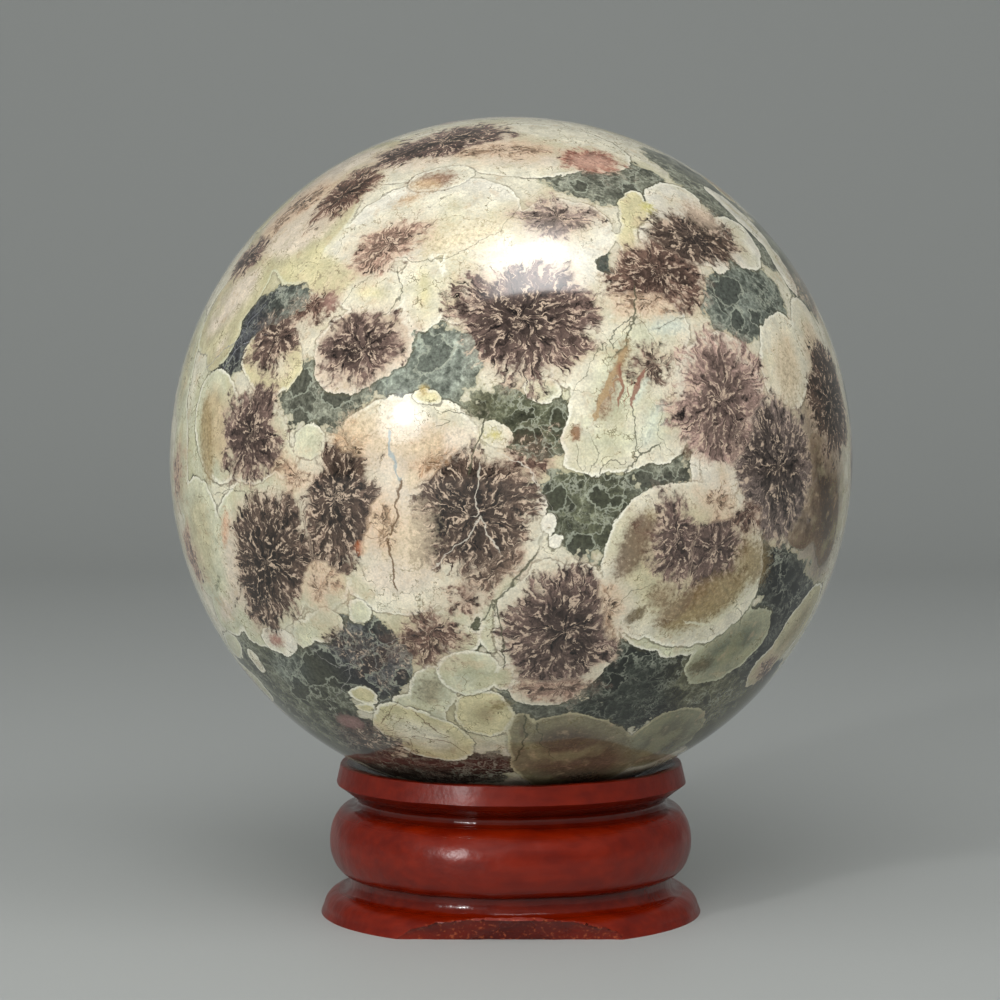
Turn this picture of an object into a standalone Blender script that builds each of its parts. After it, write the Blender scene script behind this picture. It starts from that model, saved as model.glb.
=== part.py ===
"""A polished stone ball resting on a turned and lacquered wooden ring stand.

Run it with  blender --background --python part.py  or from Blender's text editor.
Units are metres, +Z is up, and the origin is the centre of the stand's underside.
The two flats on the stand's foot face -Y and +Y.
"""

import math

import bmesh
import bpy

# The ball
BALL_DIAMETER = 0.055
BALL_SUBDIVISIONS = 5

# The ring stand's radii, built outward from its bore
BORE_RADIUS = 0.0100
SEAT_WIDTH = 0.00314  # of the dished seat, measured across from the bore to its mouth
RIM_LAND = 0.00068  # flat ring on top, outside the seat's mouth
RIM_EDGE = 0.00025  # radius that rounds the rim's upper edge
RIM_FLARE = 0.00030  # how far the rim's side leans outward, going down
NECK_WALL = 0.00270  # wood between the bore and the groove under the rim
WAIST_WALL = 0.00325  # wood between the bore and the groove over the foot
BELLY_PROUD = 0.00217  # how far the belly stands out from the groove under the rim
FOOT_PROUD = 0.00220  # how far the foot stands out from the groove over it

# The ring stand's heights, stacked from its underside
FOOT_EDGE = 0.00020  # upright edge under the foot's round lip
LIP_HEIGHT = 0.00180
COVE_HEIGHT = 0.00085
WAIST_HEIGHT = 0.00020
BELLY_HEIGHT = 0.00580
NECK_HEIGHT = 0.00060
UNDERCUT_HEIGHT = 0.00110  # slope from the groove out to the rim
RIM_HEIGHT = 0.00175

# How far the rounded grooves reach into the mouldings beside them
COVE_REACH = 0.00050
NECK_REACH = 0.00025

# The flats sawn on the foot, front and back
FLAT_DISTANCE = 0.01270  # from the axis, measured at the underside
FLAT_LEAN = math.radians(38)  # the flats lean outward by this, going up

# The fit, and how finely round shapes are cut
SEAT_CLEARANCE = 0.0003  # between the ball and the dished seat
TURNING_STEPS = 64
SAW_MARGIN = 0.002  # how far a saw block reaches past the wood
SHARP_EDGE = math.radians(40)

# Colours in linear light, and roughness
STONE_COLOUR = (0.42, 0.38, 0.29, 1.0)
STONE_ROUGHNESS = 0.08
LACQUER_COLOUR = (0.26, 0.022, 0.010, 1.0)
LACQUER_ROUGHNESS = 0.22

# Worked out from the sizes above
BALL_RADIUS = BALL_DIAMETER / 2
SEAT_RADIUS = BALL_RADIUS + SEAT_CLEARANCE
SEAT_MOUTH_RADIUS = BORE_RADIUS + SEAT_WIDTH
RIM_TOP_RADIUS = SEAT_MOUTH_RADIUS + RIM_LAND + RIM_EDGE
RIM_RADIUS = RIM_TOP_RADIUS + RIM_FLARE
NECK_RADIUS = BORE_RADIUS + NECK_WALL
WAIST_RADIUS = BORE_RADIUS + WAIST_WALL
BELLY_RADIUS = NECK_RADIUS + BELLY_PROUD
FOOT_RADIUS = WAIST_RADIUS + FOOT_PROUD
LIP_TOP = FOOT_EDGE + LIP_HEIGHT
COVE_TOP = LIP_TOP + COVE_HEIGHT
BELLY_BOTTOM = COVE_TOP + WAIST_HEIGHT
BELLY_TOP = BELLY_BOTTOM + BELLY_HEIGHT
NECK_TOP = BELLY_TOP + NECK_HEIGHT
RIM_BOTTOM = NECK_TOP + UNDERCUT_HEIGHT
STAND_HEIGHT = RIM_BOTTOM + RIM_HEIGHT
BALL_CENTRE_Z = STAND_HEIGHT + math.sqrt(SEAT_RADIUS**2 - SEAT_MOUTH_RADIUS**2)


def remove_everything():
    for found in list(bpy.data.objects):
        bpy.data.objects.remove(found)


def plain_material(name, colour, roughness):
    made = bpy.data.materials.new(name)
    made.use_nodes = True
    shader = made.node_tree.nodes["Principled BSDF"]
    shader.inputs["Base Color"].default_value = colour
    shader.inputs["Roughness"].default_value = roughness
    return made


def arc(centre, reach, start, end, steps):
    """Points (radius, height) on an arc of an ellipse, both ends included. Angles are in degrees."""
    points = []
    for step in range(steps + 1):
        angle = math.radians(start + (end - start) * step / steps)
        radius = centre[0] + reach[0] * math.cos(angle)
        height = centre[1] + reach[1] * math.sin(angle)
        points.append((radius, height))
    return points


def rim():
    """From the top's rounded edge down the leaning side."""
    edge_centre = (RIM_TOP_RADIUS - RIM_EDGE, STAND_HEIGHT - RIM_EDGE)
    return arc(edge_centre, (RIM_EDGE, RIM_EDGE), 90, 0, 2) + [(RIM_RADIUS, RIM_BOTTOM)]


def neck():
    """The rounded groove between the rim and the belly."""
    middle = (BELLY_TOP + NECK_TOP) / 2
    return arc((NECK_RADIUS + NECK_REACH, middle), (NECK_REACH, NECK_HEIGHT / 2), 90, 270, 4)


def belly():
    """The half-round moulding between the two grooves."""
    middle = (BELLY_BOTTOM + BELLY_TOP) / 2
    half = BELLY_HEIGHT / 2
    shoulder = NECK_RADIUS + NECK_REACH
    upper = arc((shoulder, middle), (BELLY_RADIUS - shoulder, half), 90, 0, 6)
    lower = arc((WAIST_RADIUS, middle), (BELLY_RADIUS - WAIST_RADIUS, half), 0, -90, 6)
    return upper[1:] + lower[1:]


def foot():
    """The hollow over the foot, then its round lip down to the underside."""
    cove_end = WAIST_RADIUS + COVE_REACH
    hollow = arc((cove_end, COVE_TOP), (COVE_REACH, COVE_HEIGHT), 180, 270, 3)
    lip = arc((cove_end, FOOT_EDGE), (FOOT_RADIUS - cove_end, LIP_HEIGHT), 90, 0, 5)
    return hollow + lip[1:] + [(FOOT_RADIUS, 0)]


def dished_seat():
    """The seat from the bore up to its mouth, an arc about the ball's centre."""
    inner = math.degrees(math.asin(BORE_RADIUS / SEAT_RADIUS)) - 90
    outer = math.degrees(math.asin(SEAT_MOUTH_RADIUS / SEAT_RADIUS)) - 90
    return arc((0, BALL_CENTRE_Z), (SEAT_RADIUS, SEAT_RADIUS), inner, outer, 3)


def turned_mesh(name, outline):
    """A closed section of (radius, height) points turned about the Z axis."""
    shape = bmesh.new()
    points = [shape.verts.new((radius, 0, height)) for radius, height in outline]
    for first, second in zip(points, points[1:] + points[:1]):
        shape.edges.new((first, second))
    bmesh.ops.spin(
        shape,
        geom=shape.verts[:] + shape.edges[:],
        cent=(0, 0, 0),
        axis=(0, 0, 1),
        angle=math.tau,
        steps=TURNING_STEPS,
        use_merge=True,
    )
    bmesh.ops.recalc_face_normals(shape, faces=shape.faces)
    mesh = bpy.data.meshes.new(name)
    shape.to_mesh(mesh)
    shape.free()
    return mesh


def add_object(name, mesh):
    made = bpy.data.objects.new(name, mesh)
    bpy.context.scene.collection.objects.link(made)
    return made


def saw_block(name, side):
    """A hidden block that saws one flat on the foot, at the front for side -1 and the back for 1."""
    bottom = -SAW_MARGIN
    top = COVE_TOP
    far = FOOT_RADIUS + 2 * SAW_MARGIN
    rise = math.tan(FLAT_LEAN)
    section = [
        (FLAT_DISTANCE + bottom * rise, bottom),
        (far, bottom),
        (far, top),
        (FLAT_DISTANCE + top * rise, top),
    ]
    half_length = FOOT_RADIUS + SAW_MARGIN
    shape = bmesh.new()
    corners = [shape.verts.new((-half_length, side * depth, height)) for depth, height in section]
    end = shape.faces.new(corners)
    pushed = bmesh.ops.extrude_face_region(shape, geom=[end])["geom"]
    far_end = [part for part in pushed if isinstance(part, bmesh.types.BMVert)]
    bmesh.ops.translate(shape, verts=far_end, vec=(2 * half_length, 0, 0))
    bmesh.ops.recalc_face_normals(shape, faces=shape.faces)
    mesh = bpy.data.meshes.new(name)
    shape.to_mesh(mesh)
    shape.free()
    block = add_object(name, mesh)
    block.hide_render = True
    block.display_type = "WIRE"
    return block


def make_stand():
    section = rim() + neck() + belly() + foot() + dished_seat_and_bore()
    mesh = turned_mesh("ring_stand", section)
    mesh.shade_smooth()
    mesh.set_sharp_from_angle(angle=SHARP_EDGE)
    mesh.materials.append(plain_material("red_lacquer", LACQUER_COLOUR, LACQUER_ROUGHNESS))
    stand = add_object("ring_stand", mesh)
    for name, side in (("front_saw", -1), ("back_saw", 1)):
        cut = stand.modifiers.new(name, "BOOLEAN")
        cut.operation = "DIFFERENCE"
        cut.object = saw_block(name, side)


def dished_seat_and_bore():
    return [(BORE_RADIUS, 0)] + dished_seat()


def make_ball():
    bpy.ops.mesh.primitive_ico_sphere_add(
        subdivisions=BALL_SUBDIVISIONS, radius=BALL_RADIUS, location=(0, 0, BALL_CENTRE_Z)
    )
    ball = bpy.context.object
    ball.name = "stone_ball"
    ball.data.shade_smooth()
    ball.data.materials.append(plain_material("polished_stone", STONE_COLOUR, STONE_ROUGHNESS))


remove_everything()
make_stand()
make_ball()
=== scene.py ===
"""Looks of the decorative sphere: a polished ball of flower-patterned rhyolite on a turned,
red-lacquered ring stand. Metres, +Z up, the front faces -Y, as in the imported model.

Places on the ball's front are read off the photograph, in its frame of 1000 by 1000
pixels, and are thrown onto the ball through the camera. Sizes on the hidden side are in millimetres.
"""

import math
from collections import namedtuple

import bpy
import numpy as np
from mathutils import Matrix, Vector


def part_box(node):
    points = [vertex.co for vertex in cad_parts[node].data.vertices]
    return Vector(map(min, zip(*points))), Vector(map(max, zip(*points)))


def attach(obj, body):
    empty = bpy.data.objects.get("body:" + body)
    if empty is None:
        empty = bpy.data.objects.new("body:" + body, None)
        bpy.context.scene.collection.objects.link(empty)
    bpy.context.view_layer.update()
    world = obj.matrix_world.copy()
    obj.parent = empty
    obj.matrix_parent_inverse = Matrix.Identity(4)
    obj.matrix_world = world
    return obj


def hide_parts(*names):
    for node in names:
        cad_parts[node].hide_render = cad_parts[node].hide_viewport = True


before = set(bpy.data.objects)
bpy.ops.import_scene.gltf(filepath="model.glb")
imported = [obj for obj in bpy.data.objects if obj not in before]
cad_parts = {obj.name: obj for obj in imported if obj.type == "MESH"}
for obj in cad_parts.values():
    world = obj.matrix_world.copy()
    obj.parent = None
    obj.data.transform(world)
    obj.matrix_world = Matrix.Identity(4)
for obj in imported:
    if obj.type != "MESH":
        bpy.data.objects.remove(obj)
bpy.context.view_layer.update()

# The ball and the stand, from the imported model
BALL_LOW, BALL_HIGH = [Vector(corner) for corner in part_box("stone_ball")]
BALL_CENTRE = (BALL_LOW + BALL_HIGH) / 2
BALL_RADIUS = (BALL_HIGH.z - BALL_LOW.z) / 2
STAND_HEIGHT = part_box("ring_stand")[1][2]
MM = 0.001

# The camera that the photograph was taken with
PHOTO_SIZE = 1000
CAMERA_PLACE = Vector((0, -0.2500, 0.04726))
CAMERA_PITCH = math.radians(-3.164)
CAMERA_YAW = math.radians(0.203)
SENSOR_WIDTH = 36
LENS_LENGTH = 111.17
LIMB = 0.9985  # a ray that passes the ball's centre farther out than this share of its radius is on the edge


def add_camera():
    lens = bpy.data.cameras.new("camera")
    lens.sensor_width = SENSOR_WIDTH
    lens.lens = LENS_LENGTH
    lens.clip_start = 0.01
    camera = bpy.data.objects.new("camera", lens)
    camera.location = CAMERA_PLACE
    camera.rotation_euler = (math.radians(90) + CAMERA_PITCH, 0, CAMERA_YAW)
    bpy.context.scene.collection.objects.link(camera)
    bpy.context.scene.camera = camera
    return camera.rotation_euler.to_matrix()


CAMERA_TURN = add_camera()
FOCAL_PIXELS = LENS_LENGTH / SENSOR_WIDTH * PHOTO_SIZE


# Colours

def linear(hex_colour):
    """An sRGB hex colour as linear light."""
    parts = [int(hex_colour[i : i + 2], 16) / 255 for i in (0, 2, 4)]
    light = [p / 12.92 if p <= 0.04045 else ((p + 0.055) / 1.055) ** 2.4 for p in parts]
    return (*light, 1.0)


CREAM = "E3DDC6"
PALE_CREAM = "E9E4D3"
IVORY_RIM = "EEEBDA"
YELLOW_CREAM = "D8CFA4"
GREEN_CREAM = "D2D1B4"
GLASSY_GREEN = "A6AB98"
OLIVE_CREAM = "C8C09C"
OLIVE_TAN = "A09470"
TAN = "BFA57E"
PINK_CREAM = "E0D2BE"
BROWN = "74614C"
RUST = "A0562E"
PINK = "CF9078"
MAUVE = "584841"
DARK_MAUVE = "4A3C33"
GREY_MAUVE = "77685F"
WARM_BROWN = "5A463C"
PINK_BROWN = "7F685A"
GREY_GREEN = "6B6C5E"
PALE_GREY_GREEN = "80867A"
DARK_GREEN = "50523F"
TEAL = "5F645B"
SLATE = "3B3C3E"
BLACK_SLATE = "222422"
OLIVE = "66644C"
MAROON = "41362F"

# Colours that lie over the flesh, the ground and the hearts
GREEN_WASH = "B9B487"
TAN_STAIN = "C3AB8A"
TAN_FLECK = "A08A66"
HAIRLINE = "6E6646"
VEIN = "B4B7A4"
PEBBLE_SKIN = "A0A492"
DIM_EDGE = "8E8B6C"
DARK_SEAM = "4E4B38"
HEART_HALO = "C2AE94"
PALE_THREAD = "C9B39C"


# Places on the ball

Patch = namedtuple("Patch", "centre across up shape")
"""A patch's centre and two tangents are unit vectors; shape turns millimetres along them into radii."""


def tangents(centre):
    """Two unit vectors along the ball's surface at that place, the first one level."""
    level = Vector((0, 0, 1)).cross(centre)
    if level.length < 1e-6:
        level = Vector((1, 0, 0))
    level.normalize()
    return level, centre.cross(level)


def turned_by(angle):
    """The matrix that reads a place along axes turned by an angle in radians."""
    cosine, sine = math.cos(angle), math.sin(angle)
    return np.array([[cosine, sine], [-sine, cosine]])


def seen(x, y, half_width, half_height, turn=0):
    """An ellipse as the photograph shows it, in its pixels, with turn in degrees, rising to the right."""
    ray = Vector((x - PHOTO_SIZE / 2, PHOTO_SIZE / 2 - y, -FOCAL_PIXELS)).normalized()
    ray = CAMERA_TURN @ ray
    to_centre = BALL_CENTRE - CAMERA_PLACE
    along = ray.dot(to_centre)
    beside = to_centre.length_squared - along**2
    reach = along - math.sqrt(max(BALL_RADIUS**2 - beside, 0))
    if beside > (LIMB * BALL_RADIUS) ** 2:
        nearest = CAMERA_PLACE + ray * along - BALL_CENTRE
        centre = nearest.normalized()
    else:
        centre = (CAMERA_PLACE + ray * reach - BALL_CENTRE).normalized()
    across, up = tangents(centre)
    pixels_per_mm = FOCAL_PIXELS / reach * MM
    right_of_view = CAMERA_TURN.col[0]
    up_of_view = CAMERA_TURN.col[1]
    flatten = pixels_per_mm * np.array(
        [
            [across.dot(right_of_view), up.dot(right_of_view)],
            [across.dot(up_of_view), up.dot(up_of_view)],
        ]
    )
    shape = np.diag([1 / half_width, 1 / half_height]) @ turned_by(math.radians(turn)) @ flatten
    return Patch(centre, across, up, shape)


def hidden(centre, half_length, half_width, turn):
    """An ellipse on the ball's surface, in millimetres, with turn in radians."""
    across, up = tangents(centre)
    return Patch(centre, across, up, np.diag([1 / half_length, 1 / half_width]) @ turned_by(turn))


def offsets(points, patch):
    """Each point's millimetres along the surface from a patch's centre, along its two tangents."""
    facing = np.clip(points @ np.array(patch.centre), -1, 1)
    distance = np.arccos(facing) * BALL_RADIUS / MM
    side = np.stack([points @ np.array(patch.across), points @ np.array(patch.up)], axis=1)
    length = np.maximum(np.linalg.norm(side, axis=1, keepdims=True), 1e-9)
    return side / length * distance[:, None]


def depth_inside(points, patch):
    """Millimetres from each point to the patch's outline, positive inside."""
    offset = offsets(points, patch)
    scaled = offset @ patch.shape.T
    level = np.maximum(np.linalg.norm(scaled, axis=1), 1e-6)
    slope = np.maximum(np.linalg.norm(scaled @ patch.shape, axis=1) / level, 1e-6)
    return (1 - level) / slope


def smooth_step(low, high, value):
    """Rises from 0 at the low value to 1 at the high one, or falls where low is above high."""
    t = np.clip((value - low) / (high - low), 0, 1)
    return t * t * (3 - 2 * t)


# The pattern: what each kind of mark is

Body = namedtuple("Body", "layer patches flesh inner rim")
"""A pale body. Its flesh turns to the inner colour a few millimetres in, and its rim is paler."""

Heart = namedtuple("Heart", "patch ink density grain")
"""A dark heart of fine fibres. Density is how full it is, grain how much of it is grains, not fibres."""

Mark = namedtuple("Mark", "patch colour soft")
"""A spot, a stain or a part of the ground. Soft is how many millimetres its edge takes."""

Line = namedtuple("Line", "points width colour")
"""A crack or a seam, along points in the photograph's pixels, with its width in millimetres."""

BACK, FRONT = 0, 1


def body(layer, flesh, inner, *patches, rim=IVORY_RIM):
    return Body(layer, patches, flesh, inner, rim)


BODIES = [
    # Top and upper left
    body(BACK, OLIVE_CREAM, PINK_CREAM, seen(300, 212, 75, 40, 42), seen(232, 300, 62, 22, 52),
         seen(345, 170, 70, 26, 25), seen(222, 345, 30, 12, 60), rim=GREEN_CREAM),
    body(BACK, CREAM, PINK_CREAM, seen(430, 150, 70, 28, 15), seen(520, 148, 75, 30, -3)),
    body(BACK, CREAM, CREAM, seen(555, 142, 78, 26, -10), seen(530, 160, 30, 16)),
    body(FRONT, CREAM, PINK_CREAM, seen(441, 178, 34, 13, 12)),
    body(BACK, PALE_CREAM, CREAM, seen(430, 215, 92, 42, 12), seen(360, 250, 40, 32, 30)),
    body(BACK, YELLOW_CREAM, OLIVE_CREAM, seen(338, 272, 34, 26, 20), seen(300, 262, 28, 20, 40),
         rim=GREEN_CREAM),
    body(BACK, CREAM, YELLOW_CREAM, seen(372, 292, 36, 26), seen(424, 290, 24, 40), seen(455, 292, 16, 34)),
    body(BACK, PALE_CREAM, CREAM, seen(500, 262, 58, 52), seen(590, 300, 30, 34), seen(550, 275, 50, 40)),
    body(BACK, PALE_CREAM, CREAM, seen(565, 229, 51, 34, -8)),
    # Left side
    body(BACK, GREEN_CREAM, OLIVE_CREAM, seen(187, 365, 9, 60, -12), seen(180, 460, 9, 60),
         seen(200, 540, 22, 62, 8)),
    body(FRONT, YELLOW_CREAM, CREAM, seen(271, 360, 32, 35)),
    body(FRONT, GREEN_CREAM, "C9B590", seen(216, 425, 27, 58, 4), seen(250, 440, 38, 44)),
    body(FRONT, GREEN_CREAM, OLIVE_CREAM, seen(310, 441, 16, 18)),
    body(FRONT, GREEN_CREAM, GREEN_CREAM, seen(284, 463, 10, 17)),
    body(BACK, PINK_CREAM, PINK_CREAM, seen(362, 345, 52, 38, 15), seen(345, 372, 30, 22)),
    # Middle
    body(BACK, CREAM, PINK_CREAM, seen(408, 450, 75, 56), seen(400, 520, 92, 66), seen(400, 574, 58, 43),
         seen(480, 515, 66, 72), seen(330, 510, 48, 66), seen(470, 590, 36, 28)),
    body(FRONT, CREAM, YELLOW_CREAM, seen(495, 434, 18, 13, -35)),
    body(FRONT, YELLOW_CREAM, YELLOW_CREAM, seen(428, 397, 14, 7)),
    body(BACK, GREEN_CREAM, PINK_CREAM, seen(258, 555, 58, 84, -4), seen(232, 600, 26, 40, -20),
         seen(262, 625, 24, 24), seen(320, 575, 30, 40)),
    body(FRONT, PALE_CREAM, PINK_CREAM, seen(279, 641, 21, 13, -25)),
    body(FRONT, GREEN_CREAM, GREEN_CREAM, seen(323, 625, 20, 17), seen(303, 633, 12, 14)),
    body(FRONT, GREEN_CREAM, YELLOW_CREAM, seen(359, 612, 11, 13)),
    body(FRONT, PALE_CREAM, CREAM, seen(549, 524, 9, 11), seen(541, 505, 6, 10), seen(556, 540, 7, 8)),
    # Right of the middle
    body(BACK, CREAM, OLIVE_CREAM, seen(579, 352, 40, 21, 50), seen(566, 372, 16, 14)),
    body(FRONT, GREEN_CREAM, GREEN_CREAM, seen(541, 389, 20, 13, -8)),
    body(FRONT, PALE_CREAM, CREAM, seen(561, 331, 14, 7, 25), seen(548, 336, 8, 5)),
    body(BACK, CREAM, GREEN_CREAM, seen(628, 370, 50, 78, -28), seen(650, 330, 42, 36),
         seen(612, 440, 50, 34), seen(660, 420, 32, 44), seen(592, 412, 22, 40, -25),
         seen(590, 462, 28, 14)),
    body(BACK, PALE_CREAM, CREAM, seen(722, 392, 46, 62), seen(720, 470, 30, 34), seen(765, 470, 52, 60)),
    body(FRONT, PALE_CREAM, TAN, seen(722, 472, 21, 27, 10)),
    body(BACK, YELLOW_CREAM, YELLOW_CREAM, seen(634, 210, 16, 22), seen(628, 240, 10, 18)),
    body(BACK, PINK_CREAM, CREAM, seen(660, 272, 46, 34)),
    body(FRONT, PALE_CREAM, CREAM, seen(674, 202, 30, 22, -10), seen(739, 242, 33, 18, -55),
         seen(700, 235, 36, 30, -30), seen(651, 235, 12, 14), seen(721, 266, 9, 9)),
    body(BACK, CREAM, "E0CFB0", seen(786, 360, 27, 50, 8), seen(812, 345, 18, 50, 14)),
    body(BACK, PALE_CREAM, OLIVE_CREAM, seen(742, 218, 48, 6, -44), seen(782, 268, 30, 6, -58)),
    # The ringed orb at the lower right and its neighbours
    body(FRONT, CREAM, OLIVE_CREAM, seen(691, 568, 84, 84, 10), seen(640, 560, 34, 52, -25),
         seen(640, 612, 22, 28)),
    body(BACK, GREEN_CREAM, OLIVE_CREAM, seen(656, 616, 42, 38, -20), seen(706, 616, 62, 32, 32)),
    body(BACK, "A4A488", "686D5A", seen(731, 648, 54, 24, 38), rim=GREEN_CREAM),
    body(BACK, OLIVE_CREAM, OLIVE_TAN, seen(797, 626, 50, 12, 56), seen(765, 665, 28, 10, 50)),
    body(BACK, "66523F", "463629", seen(826, 500, 18, 66, 6), seen(800, 520, 22, 30, 20), rim=BROWN),
    # The flower at the lower middle
    body(FRONT, CREAM, PINK_CREAM, seen(559, 634, 62, 66), seen(548, 575, 20, 16), seen(583, 580, 16, 15),
         seen(545, 690, 34, 18, 8), seen(512, 625, 18, 40)),
    body(BACK, GREEN_CREAM, GREEN_CREAM, seen(491, 636, 12, 16), seen(500, 600, 18, 30, -30)),
    # Bottom
    body(BACK, GREEN_CREAM, OLIVE_CREAM, seen(460, 642, 20, 15), seen(450, 620, 26, 14, 20)),
    body(FRONT, GREEN_CREAM, GLASSY_GREEN, seen(468, 673, 33, 23), seen(503, 677, 13, 12)),
    body(BACK, GREEN_CREAM, OLIVE_TAN, seen(432, 692, 25, 27, -15), seen(420, 712, 30, 14, -25)),
    body(BACK, YELLOW_CREAM, OLIVE_TAN, seen(484, 714, 31, 24, -10)),
    body(FRONT, YELLOW_CREAM, CREAM, seen(423, 736, 53, 24, -20), seen(392, 720, 20, 18)),
    body(BACK, YELLOW_CREAM, OLIVE_CREAM, seen(363, 695, 16, 9, -15), seen(366, 708, 11, 5, -15)),
    body(BACK, "857E64", "67594A", seen(575, 760, 64, 43), seen(522, 740, 16, 28), rim=OLIVE_CREAM),
    body(BACK, "8B8A6E", "62604A", seen(665, 740, 47, 24, 33), rim=OLIVE_CREAM),
    body(FRONT, CREAM, CREAM, seen(256, 661, 15, 4, -55)),
    body(FRONT, GREEN_CREAM, CREAM, seen(233, 645, 15, 8, -60)),
]


def heart(x, y, half_width, half_height, turn=0, ink=MAUVE, density=1.0, grain=0.2):
    return Heart(seen(x, y, half_width, half_height, turn), ink, density, grain)


HEARTS = [
    heart(345, 194, 42, 12, 36, WARM_BROWN, 0.95),
    heart(440, 143, 66, 14, 14, MAUVE, 1.0),
    heart(248, 258, 22, 9, 48, MAUVE, 0.9),
    heart(386, 248, 38, 18, 32, PINK_BROWN, 0.85),
    heart(560, 218, 34, 18, 0, GREY_MAUVE, 0.8, 0.3),
    heart(524, 318, 66, 58, 22, MAUVE, 1.0),
    heart(362, 349, 46, 33, 18, MAUVE, 0.9, 0.5),
    heart(278, 338, 25, 27, 20, "52423A", 1.0, 0.3),
    heart(312, 304, 24, 15, 35, WARM_BROWN, 0.95, 0.6),
    heart(250, 434, 31, 42, -10, MAUVE, 1.0, 0.5),
    heart(268, 562, 40, 66, -6, DARK_MAUVE, 1.1),
    heart(337, 500, 38, 62, -8, DARK_MAUVE, 1.0),
    heart(471, 516, 60, 62, 0, DARK_MAUVE, 1.1),
    heart(560, 630, 55, 56, 0, MAUVE, 1.05, 0.3),
    heart(694, 238, 44, 28, -25, DARK_MAUVE, 1.05, 0.4),
    heart(660, 274, 48, 32, -10, WARM_BROWN, 0.9, 0.5),
    heart(722, 398, 44, 64, 0, "7E6960", 1.0, 0.4),
    heart(722, 424, 24, 20, 0, "66524A", 1.1, 0.2),
    heart(778, 468, 40, 68, 12, "5C504A", 1.05, 0.5),
    heart(830, 398, 20, 60, 8, DARK_MAUVE, 1.0, 0.4),
    heart(678, 536, 24, 44, 12, MAUVE, 1.0, 0.4),
    heart(712, 552, 26, 34, -20, MAUVE, 0.95, 0.5),
    heart(752, 512, 22, 14, 30, WARM_BROWN, 0.8, 0.6),
    heart(652, 364, 12, 10, -20, "54453C", 1.2, 0.5),
    heart(592, 162, 22, 9, -5, "7E5648", 0.9, 0.6),
    heart(298, 474, 24, 18, -30, "86705C", 0.55, 0.4),
    heart(350, 446, 20, 22, 20, "93795F", 0.55, 0.4),
    heart(428, 462, 26, 18, 20, "86694F", 0.5, 0.4),
    heart(384, 524, 22, 26, 0, "967C62", 0.4, 0.4),
    heart(318, 590, 18, 26, 20, "8C7560", 0.45, 0.4),
    heart(494, 570, 40, 20, 40, "5F4E42", 0.85, 0.4),
    heart(608, 612, 14, 30, 0, "86705C", 0.5, 0.4),
    heart(650, 300, 26, 18, 0, "86705C", 0.5, 0.4),
    heart(742, 432, 24, 30, 0, "7E6960", 0.7, 0.5),
    heart(716, 500, 24, 22, 0, "86705C", 0.5, 0.6),
    heart(300, 205, 40, 12, 40, "8C7560", 0.5, 0.4),
    heart(500, 150, 40, 10, 0, "8C7560", 0.45, 0.4),
    heart(430, 634, 30, 18, 30, WARM_BROWN, 0.95, 0.4),
    heart(398, 652, 26, 12, 20, WARM_BROWN, 0.9, 0.7),
    heart(462, 600, 26, 16, 40, WARM_BROWN, 0.8, 0.8),
    heart(560, 690, 34, 12, 8, PINK_BROWN, 0.9, 0.5),
    heart(520, 452, 26, 16, 0, WARM_BROWN, 0.7, 0.8),
    heart(366, 656, 34, 14, -38, MAROON, 0.8, 0.8),
    heart(178, 475, 4, 26, 0, PINK_BROWN, 0.8),
    heart(193, 558, 6, 24, 14, PINK_BROWN, 0.8),
    heart(803, 288, 6, 26, 24, WARM_BROWN, 0.9),
    heart(374, 741, 26, 12, -25, MAROON, 0.9, 0.5),
    heart(765, 672, 24, 8, 55, WARM_BROWN, 0.6, 0.4),
]


def mark(x, y, half_width, half_height, turn, colour, soft):
    return Mark(seen(x, y, half_width, half_height, turn), colour, soft)


GROUND = [
    mark(606, 176, 70, 30, -12, GREY_GREEN, 2.0),
    mark(718, 200, 92, 17, -44, GREY_GREEN, 2.0),
    mark(748, 300, 48, 40, -20, TEAL, 1.5),
    mark(786, 262, 12, 60, 30, GREY_GREEN, 1.5),
    mark(604, 267, 12, 17, 0, TEAL, 1.0),
    mark(247, 334, 72, 20, 48, SLATE, 1.0),
    mark(290, 300, 26, 15, 30, TEAL, 1.0),
    mark(322, 394, 50, 38, 0, GREY_GREEN, 1.5),
    mark(425, 366, 56, 46, 20, PALE_GREY_GREEN, 1.5),
    mark(490, 408, 26, 20, 0, OLIVE, 1.5),
    mark(530, 424, 50, 36, -10, DARK_GREEN, 1.5),
    mark(600, 512, 72, 46, -12, DARK_GREEN, 1.5),
    mark(662, 474, 34, 20, 0, GREY_GREEN, 1.5),
    mark(193, 492, 7, 15, 0, TEAL, 0.5),
    mark(203, 510, 5, 24, 0, DARK_GREEN, 0.5),
    mark(350, 662, 66, 44, -16, SLATE, 1.5),
    mark(292, 702, 86, 44, -46, "565849", 2.0),
    mark(290, 668, 22, 16, -40, TEAL, 1.0),
    mark(476, 634, 20, 20, 0, DARK_GREEN, 1.0),
    mark(430, 772, 92, 18, 0, MAROON, 1.5),
    mark(366, 740, 34, 22, -20, MAROON, 1.0),
    mark(535, 706, 50, 18, 0, GREY_GREEN, 1.5),
    mark(612, 716, 52, 20, 0, "32362F", 1.0),
    mark(664, 682, 84, 46, 0, "2D312A", 2.0),
    mark(722, 704, 84, 36, 34, BLACK_SLATE, 1.5),
    mark(790, 592, 30, 52, 30, BLACK_SLATE, 1.5),
    mark(756, 640, 40, 32, 40, BLACK_SLATE, 1.5),
    mark(736, 735, 46, 24, 40, "555440", 1.5),
    mark(612, 588, 12, 44, -12, DARK_GREEN, 1.0),
]

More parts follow.
